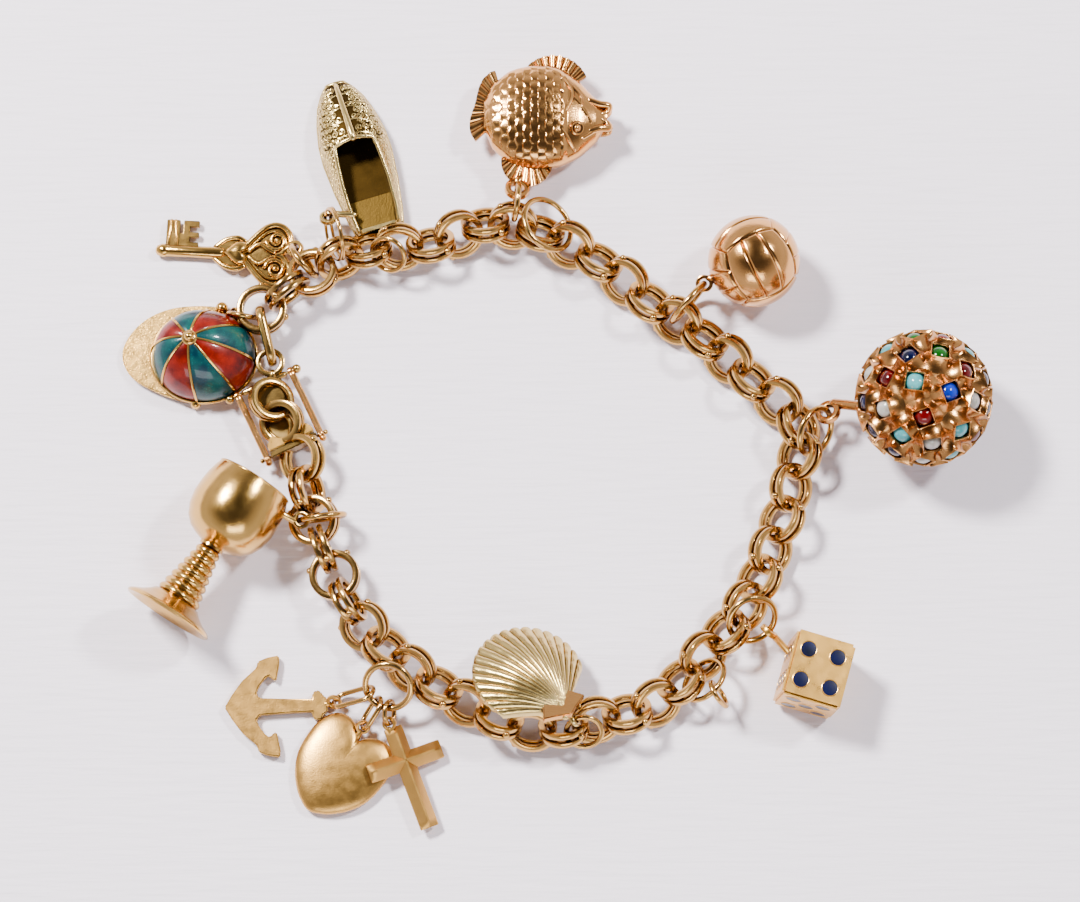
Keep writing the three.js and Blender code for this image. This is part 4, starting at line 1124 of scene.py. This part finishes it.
def make_shell():
    """A scallop: a swollen fan of ribs with fine growth lines across, and two ears at its hinge."""
    ribs, steps = SHELL["ribs"], 6
    columns = ribs * steps
    loops = []
    for i in range(columns + 1):
        across = 2 * i / columns - 1
        angle = math.radians(across * SHELL["spread"])
        wave = abs(math.sin(math.pi * i / steps)) ** 0.55
        reach = SHELL["radius"] * (1 - 0.46 * across ** 2) * (1 + 0.008 * wave)
        outer, under = [], []
        for j in range(31):
            out = 0.05 + 0.95 * j / 30
            swell = 2.6 * math.sin(math.pi * (0.15 + 0.75 * out)) * (1 - 0.75 * across ** 2)
            growth = 0.02 * math.sin(34 * out ** 1.5) * out
            height = swell + (0.34 * wave - 0.15) * out ** 0.8 + growth
            flat = Vector((reach * out * math.cos(angle), reach * out * math.sin(angle), height))
            outer.append(flat)
            under.append(Vector((flat.x, flat.y, height - 0.55)))
        loops.append(outer + under[::-1])
    turn, tilt, fall = (math.radians(SHELL[key]) for key in ("turn", "droop", "droop_turn"))
    up = (math.cos(fall) * math.sin(tilt), math.sin(fall) * math.sin(tilt), math.cos(tilt))
    place = frame_at(SHELL["hinge"], up, (math.cos(turn), math.sin(turn), 0))
    shells = Shells()
    shells.add(loft(loops), place)
    ears = [(-0.9, 0), (-0.3, -1.2), (0.4, -3.1), (2.0, -1.9), (2.4, 0), (2.0, 1.9), (0.4, 3.1), (-0.3, 1.2)]
    shells.add(plate(ears, 0.5, 1.35, 0.12), place, 1)
    x, y, z = SHELL["hinge"]
    inside = (x, y - 0.3, z + 1)
    add_shells(shells, eye_shells("shell_jump_ring", inside, 0.95, 0.5, 0.5, 0.38))
    make_piece("shell_fine", shells, [GREEN_GOLD, ROSE_GOLD], ["shell"], sharp=60)


def ridged_bar(low, high, width, height):
    """One bar of the cross: a ridge above, flat below, its ends sloping down."""
    half = width / 2
    rows = []
    for y, rise, share in ((low, 0.15, 0.94), (low + 0.12, 0.3, 1), (low + 0.9, 1, 1), (high - 0.9, 1, 1),
                           (high - 0.12, 0.3, 1), (high, 0.15, 0.94)):
        top = 0.5 + (height - 0.5) * rise
        x = half * share
        rows.append([(-x, y, 0.05), (-x, y, 0.38), (-x + 0.12, y, 0.52), (-0.12, y, top), (0.12, y, top),
                     (x - 0.12, y, 0.52), (x, y, 0.38), (x, y, 0.05)])
    return loft(rows)


def make_cross():
    place = frame_at((-15.7, -37.2, 1.4), (0.14, 0, 1), (0.93, 0.36, -0.14))
    shells = Shells()
    shells.add(ridged_bar(-8.2, 4.2, 2.2, 1.4), place)
    shells.add(ridged_bar(-4.5, 4.5, 2.2, 1.4), place @ Matrix.Rotation(math.pi / 2, 4, "Z"))
    add_shells(shells, eye_shells("cross_jump_ring", (-17.1, -34.2, 1.9), *FLAT_EYE))
    make_piece("cross_fine", shells, [SATIN_GOLD], ["cross"], sharp=24)


def make_heart():
    """A puffed heart: an outline that shrinks and rounds off towards its top and bottom."""
    half = [
        (0, 3), (0.5, 3.7), (1.4, 4.3), (2.8, 4.6), (4.2, 4.0), (5.1, 2.5), (5.35, 0.4), (5.05, -2.1),
        (4.0, -4.2), (2.4, -5.9), (1.0, -6.75), (0.3, -7)]
    outline = closed_curve(half + [(-x, y) for x, y in reversed(half[1:])], 4)
    loops = []
    for i in range(19):
        angle = math.pi * (i / 18 - 0.5)
        scale = max(math.cos(angle), 0.02) ** 0.7
        level = 0.92 + (1.15 if angle > 0 else 0.8) * math.sin(angle)
        loop = []
        for point in outline:
            around = math.atan2(point.y + 0.8, point.x)
            soft = Vector((4.6 * math.cos(around), 5.0 * math.sin(around) - 0.6, 0))
            middle = point.lerp(soft, 1 - scale)
            loop.append((middle.x * scale, -0.6 + (middle.y + 0.6) * scale, level))
        loops.append(loop)
    shells = Shells().add(loft(loops), level_frame((-22.8, -37.1, 0), -36))
    add_shells(shells, eye_shells("heart_jump_ring", (-21.4, -34.6, 1.1), *FLAT_EYE))
    make_piece("heart_fine", shells, [SATIN_GOLD], ["heart"])


def make_anchor():
    half = [
        (-12.2, 0), (-11.3, 1.5), (-10.1, 3.1), (-8.4, 4.6), (-8.3, 5.3), (-7.2, 5.75), (-5.8, 6.0),
        (-5.75, 5.0), (-6.15, 3.0), (-6.5, 3.1), (-6.9, 3.6), (-7.4, 3.4), (-8.2, 2.3), (-8.5, 1.5),
        (-8.1, 1.0), (-5, 0.85), (-1.95, 0.75), (-1.95, 1.4), (-1.5, 1.8), (-0.9, 1.6), (-0.7, 1.1),
        (-0.2, 0.8)]
    outline = half + [(x, -y) for x, y in reversed(half[1:])]
    place = level_frame((-24.6, -30.5, 0.1), 1.5)
    shells = Shells().add(plate(outline, 0, 1.1, 0.14), place)
    add_shells(shells, eye_shells("anchor_jump_ring", (-25.8, -30.5, 0.7), 0.95, 0.5, 0.5, 0.35))
    make_piece("anchor_fine", shells, [SATIN_GOLD], ["anchor"])


def make_goblet():
    """A goblet that lies on its side: a plain foot, a stem of turned rings and a bowl with a thick rim."""
    foot, mouth = (-43.3, -20.6), (-33.4, -4.8)
    place = frame_at((*foot, 5.5), (mouth[0] - foot[0], mouth[1] - foot[1], 0), (0, 0, 1))
    outside = [(5.35, 0.0), (5.5, 0.15), (5.4, 0.4), (4.9, 0.7), (4.1, 1.1), (3.4, 1.6), (2.9, 2.1)]
    rings, steps = 7, 56
    for k in range(steps + 1):
        swell = 0.3 * abs(math.sin(math.pi * rings * k / steps))
        outside.append((2.5 - 1.35 * k / steps + swell, 2.2 + 7.0 * k / steps))
    outside += [
        (1.5, 9.3), (1.5, 9.6), (2.4, 9.9), (3.5, 10.4), (4.4, 11.3), (5.0, 12.5), (5.3, 14.0), (5.3, 15.4),
        (5.15, 16.8), (4.9, 17.9), (4.65, 18.6), (4.6, 18.85), (4.45, 18.9), (4.3, 18.8)]
    inside = [
        (4.45, 17.9), (4.7, 16.6), (4.85, 15.2), (4.8, 14.0), (4.5, 12.7), (3.8, 11.6), (2.6, 10.9),
        (0, 10.6)]
    under = [(0, 1.7), (1.2, 1.6), (2.6, 1.1), (3.9, 0.5), (5.0, 0.05)]
    profile = under + outside + inside
    shells = Shells().add(lathe(profile, 88), place)
    shells.add(torus(4.55, 0.16, 80, 10), place @ shifted(0, 0, 18.7))
    add_shells(shells, eye_shells("goblet_jump_ring", (-30.9, -8.1, 5.2)))
    make_piece("goblet_fine", shells, [YELLOW_GOLD], ["goblet"])


# The cap's crown: its rim's centre and half-sizes, heights of rim and top, the top's shift and the
# first rib's turn in degrees.
CAP = {
    "at": (-39.9, 11.1), "half_x": 6.1, "half_y": 5.4, "base": 1.4, "crown": 6.8,
    "apex": (-1.3, 1.1), "first": -7,
}


def cap_point(turn, lift, grow=0.0):
    """A point of the crown: turn round it in radians, and lift from 0 at its rim to 1 at the button."""
    angle = lift * math.pi / 2
    x = (CAP["half_x"] + grow) * math.cos(turn) * math.cos(angle) + CAP["apex"][0] * math.sin(angle) ** 2
    y = (CAP["half_y"] + grow) * math.sin(turn) * math.cos(angle) + CAP["apex"][1] * math.sin(angle) ** 2
    z = CAP["base"] + (CAP["crown"] - CAP["base"] + grow) * math.sin(angle)
    return Vector((CAP["at"][0] + x, CAP["at"][1] + y, z))


def cap_panel(number):
    """One of the crown's eight enamel panels, slightly swollen between its ribs."""
    start = math.radians(CAP["first"] + 45 * number)
    loops = []
    for i in range(15):
        turn = start + math.radians(45) * i / 14
        puff = 0.14 * math.sin(math.pi * i / 14) ** 0.5
        lifts = [0.01 + 0.93 * j / 16 for j in range(17)]
        outer = [cap_point(turn, lift, puff * min(1, lift * 8)) for lift in lifts]
        inner = [cap_point(turn, lift, -0.3) for lift in reversed(lifts)]
        loops.append(outer + inner)
    return loft(loops)


def make_cap():
    """A jockey cap: enamel panels by turns teal and red, gold ribs, a button and a hammered peak."""
    panels = (Shells(), Shells())
    for number in range(8):
        panels[number % 2].add(cap_panel(number))
    make_piece("cap_panels_teal", panels[0], [ENAMEL_TEAL], ["cap_enamel"])
    make_piece("cap_panels_red", panels[1], [ENAMEL_RED])
    shells = Shells()
    core_lifts = (0, 0.2, 0.4, 0.6, 0.8, 0.93)
    shells.add(loft([[cap_point(FULL * i / 40, lift, -0.35) for i in range(40)] for lift in core_lifts]))
    for number in range(8):
        turn = math.radians(CAP["first"] + 45 * number)
        rib = [cap_point(turn, 0.01 + 0.96 * j / 20, 0.06) for j in range(21)]
        shells.add(tube(rib, 0.17, sides=8))
    rim = [cap_point(FULL * i / 64, 0, 0.08) + Vector((0, 0, -0.02)) for i in range(64)]
    shells.add(tube(rim, 0.3, closed=True))
    button = cap_point(0, 1)
    shells.add(ball(0.95, 20), shifted(*button) @ Matrix.Diagonal((1, 1, 0.45, 1)))
    shells.add(ball(0.62, 18), shifted(*button) @ shifted(0, 0, 0.5))
    peak = closed_curve([
        (2.6, 6.0), (-3.2, 6.2), (-7.4, 4.4), (-9.7, 1.0), (-8.8, -2.1), (-5.5, -4.2), (-1.0, -5.5),
        (3, -4.4), (5.2, 0), (4.6, 3.4)], 6)
    at = (*CAP["at"], 0)
    shells.add(plate([(p.x, p.y) for p in peak], 0.25, 1.05, 0.16), shifted(*at), 1)
    for x, y, radius in ((2.0, 6.1, 0.75), (-0.9, -5.6, 0.65)):
        shells.add(ball(radius, 18), shifted(at[0] + x, at[1] + y, 1.0))
    add_shells(shells, eye_shells("cap_jump_ring", (at[0] + 3, at[1] + 3.5, 0.6), *FLAT_EYE))
    make_piece("cap_fine", shells, [YELLOW_GOLD, HAMMERED_GOLD], ["cap"])


# ---------------------------------------------------------------- the room


def make_floor():
    """A pale cloth with a faint weave, as staging."""
    tree = Tree("pale_cloth")
    tree.set(roughness=0.9)
    tree.shader.inputs["Specular IOR Level"].default_value = 0.1
    cloud = tree.ramp(tree.noise(6, 2), [(0.3, (0.86, 0.79, 0.88)), (0.7, (0.91, 0.84, 0.93))])
    tree.link(cloud, "Base Color")
    tree.link(tree.bump(tree.noise(1300, 2, stretch=(0.1, 1, 1)), 0.00025, 0.6), "Normal")
    mesh = bpy.data.meshes.new("floor")
    reach = 1.2
    corners = [(-reach, -reach, 0), (reach, -reach, 0), (reach, reach, 0), (-reach, reach, 0)]
    mesh.from_pydata(corners, [], [(0, 1, 2, 3)])
    mesh.materials.append(tree.material)
    floor = bpy.data.objects.new("floor", mesh)
    bpy.context.scene.collection.objects.link(floor)


def aim(item, target):
    item.rotation_euler = (Vector(target) - item.location).to_track_quat("-Z", "Y").to_euler()


def add_area(name, at, size, watts, colour=(1, 1, 1)):
    """A soft box that shines at the table's middle."""
    light = bpy.data.lights.new(name, "AREA")
    light.shape = "RECTANGLE"
    light.size, light.size_y = size
    light.energy = watts
    light.color = colour
    item = bpy.data.objects.new(name, light)
    item.location = at
    aim(item, (0, 0, 0))
    bpy.context.scene.collection.objects.link(item)


def make_light():
    """A light tent: bright all round, dark overhead, with two soft boxes high up and a fill in front."""
    add_area("left_box", (-0.3, 0.24, 0.5), (0.12, 0.1), 11.0, (1, 0.985, 0.96))
    add_area("right_box", (0.36, 0.2, 0.5), (0.07, 0.07), 4.0)
    add_area("front_fill", (0.05, -0.62, 0.42), (0.5, 0.2), 2.0)
    world = bpy.data.worlds.new("studio")
    bpy.context.scene.world = world
    world.use_nodes = True
    nodes, links = world.node_tree.nodes, world.node_tree.links
    place = nodes.new("ShaderNodeTexCoord")
    split = nodes.new("ShaderNodeSeparateXYZ")
    ramp = nodes.new("ShaderNodeValToRGB")
    links.new(place.outputs["Generated"], split.inputs[0])
    links.new(split.outputs["Z"], ramp.inputs[0])
    set_stops(ramp, (
        (0.0, (0.9, 0.87, 0.87)), (0.3, (1.05, 1.0, 1.03)), (0.57, (0.62, 0.58, 0.59)),
        (0.8, (0.11, 0.095, 0.09)), (1.0, (0.05, 0.042, 0.04))))
    links.new(ramp.outputs[0], nodes["Background"].inputs[0])
    nodes["Background"].inputs[1].default_value = 0.9


def make_camera():
    """Looks down at the origin of the table's frame from in front."""
    target = Vector((0, 0, 0)) - MIDDLE * MILLIMETRE
    elevation, distance = math.radians(CAMERA["elevation"]), CAMERA["distance"]
    data = bpy.data.cameras.new("camera")
    data.lens = CAMERA["lens"]
    data.sensor_width = CAMERA["sensor"]
    data.sensor_fit = "HORIZONTAL"
    data.clip_start = 0.01
    camera = bpy.data.objects.new("camera", data)
    camera.location = target + Vector((0, -math.cos(elevation), math.sin(elevation))) * distance
    aim(camera, target)
    bpy.context.scene.collection.objects.link(camera)
    bpy.context.scene.camera = camera


make_camera()
make_floor()
make_light()
make_rings()
make_chain()
make_clasp_box()
make_clasp_tongue()
make_safety_bar("safety_bar_left", -1, "left_safety_bar")
make_safety_bar("safety_bar_right", 1, "right_safety_bar")
make_connecting_link()
make_key()
make_slipper()
make_fish()
make_volleyball()
make_jewelled_ball()
make_die()
make_shell()
make_cross()
make_heart()
make_anchor()
make_goblet()
make_cap()
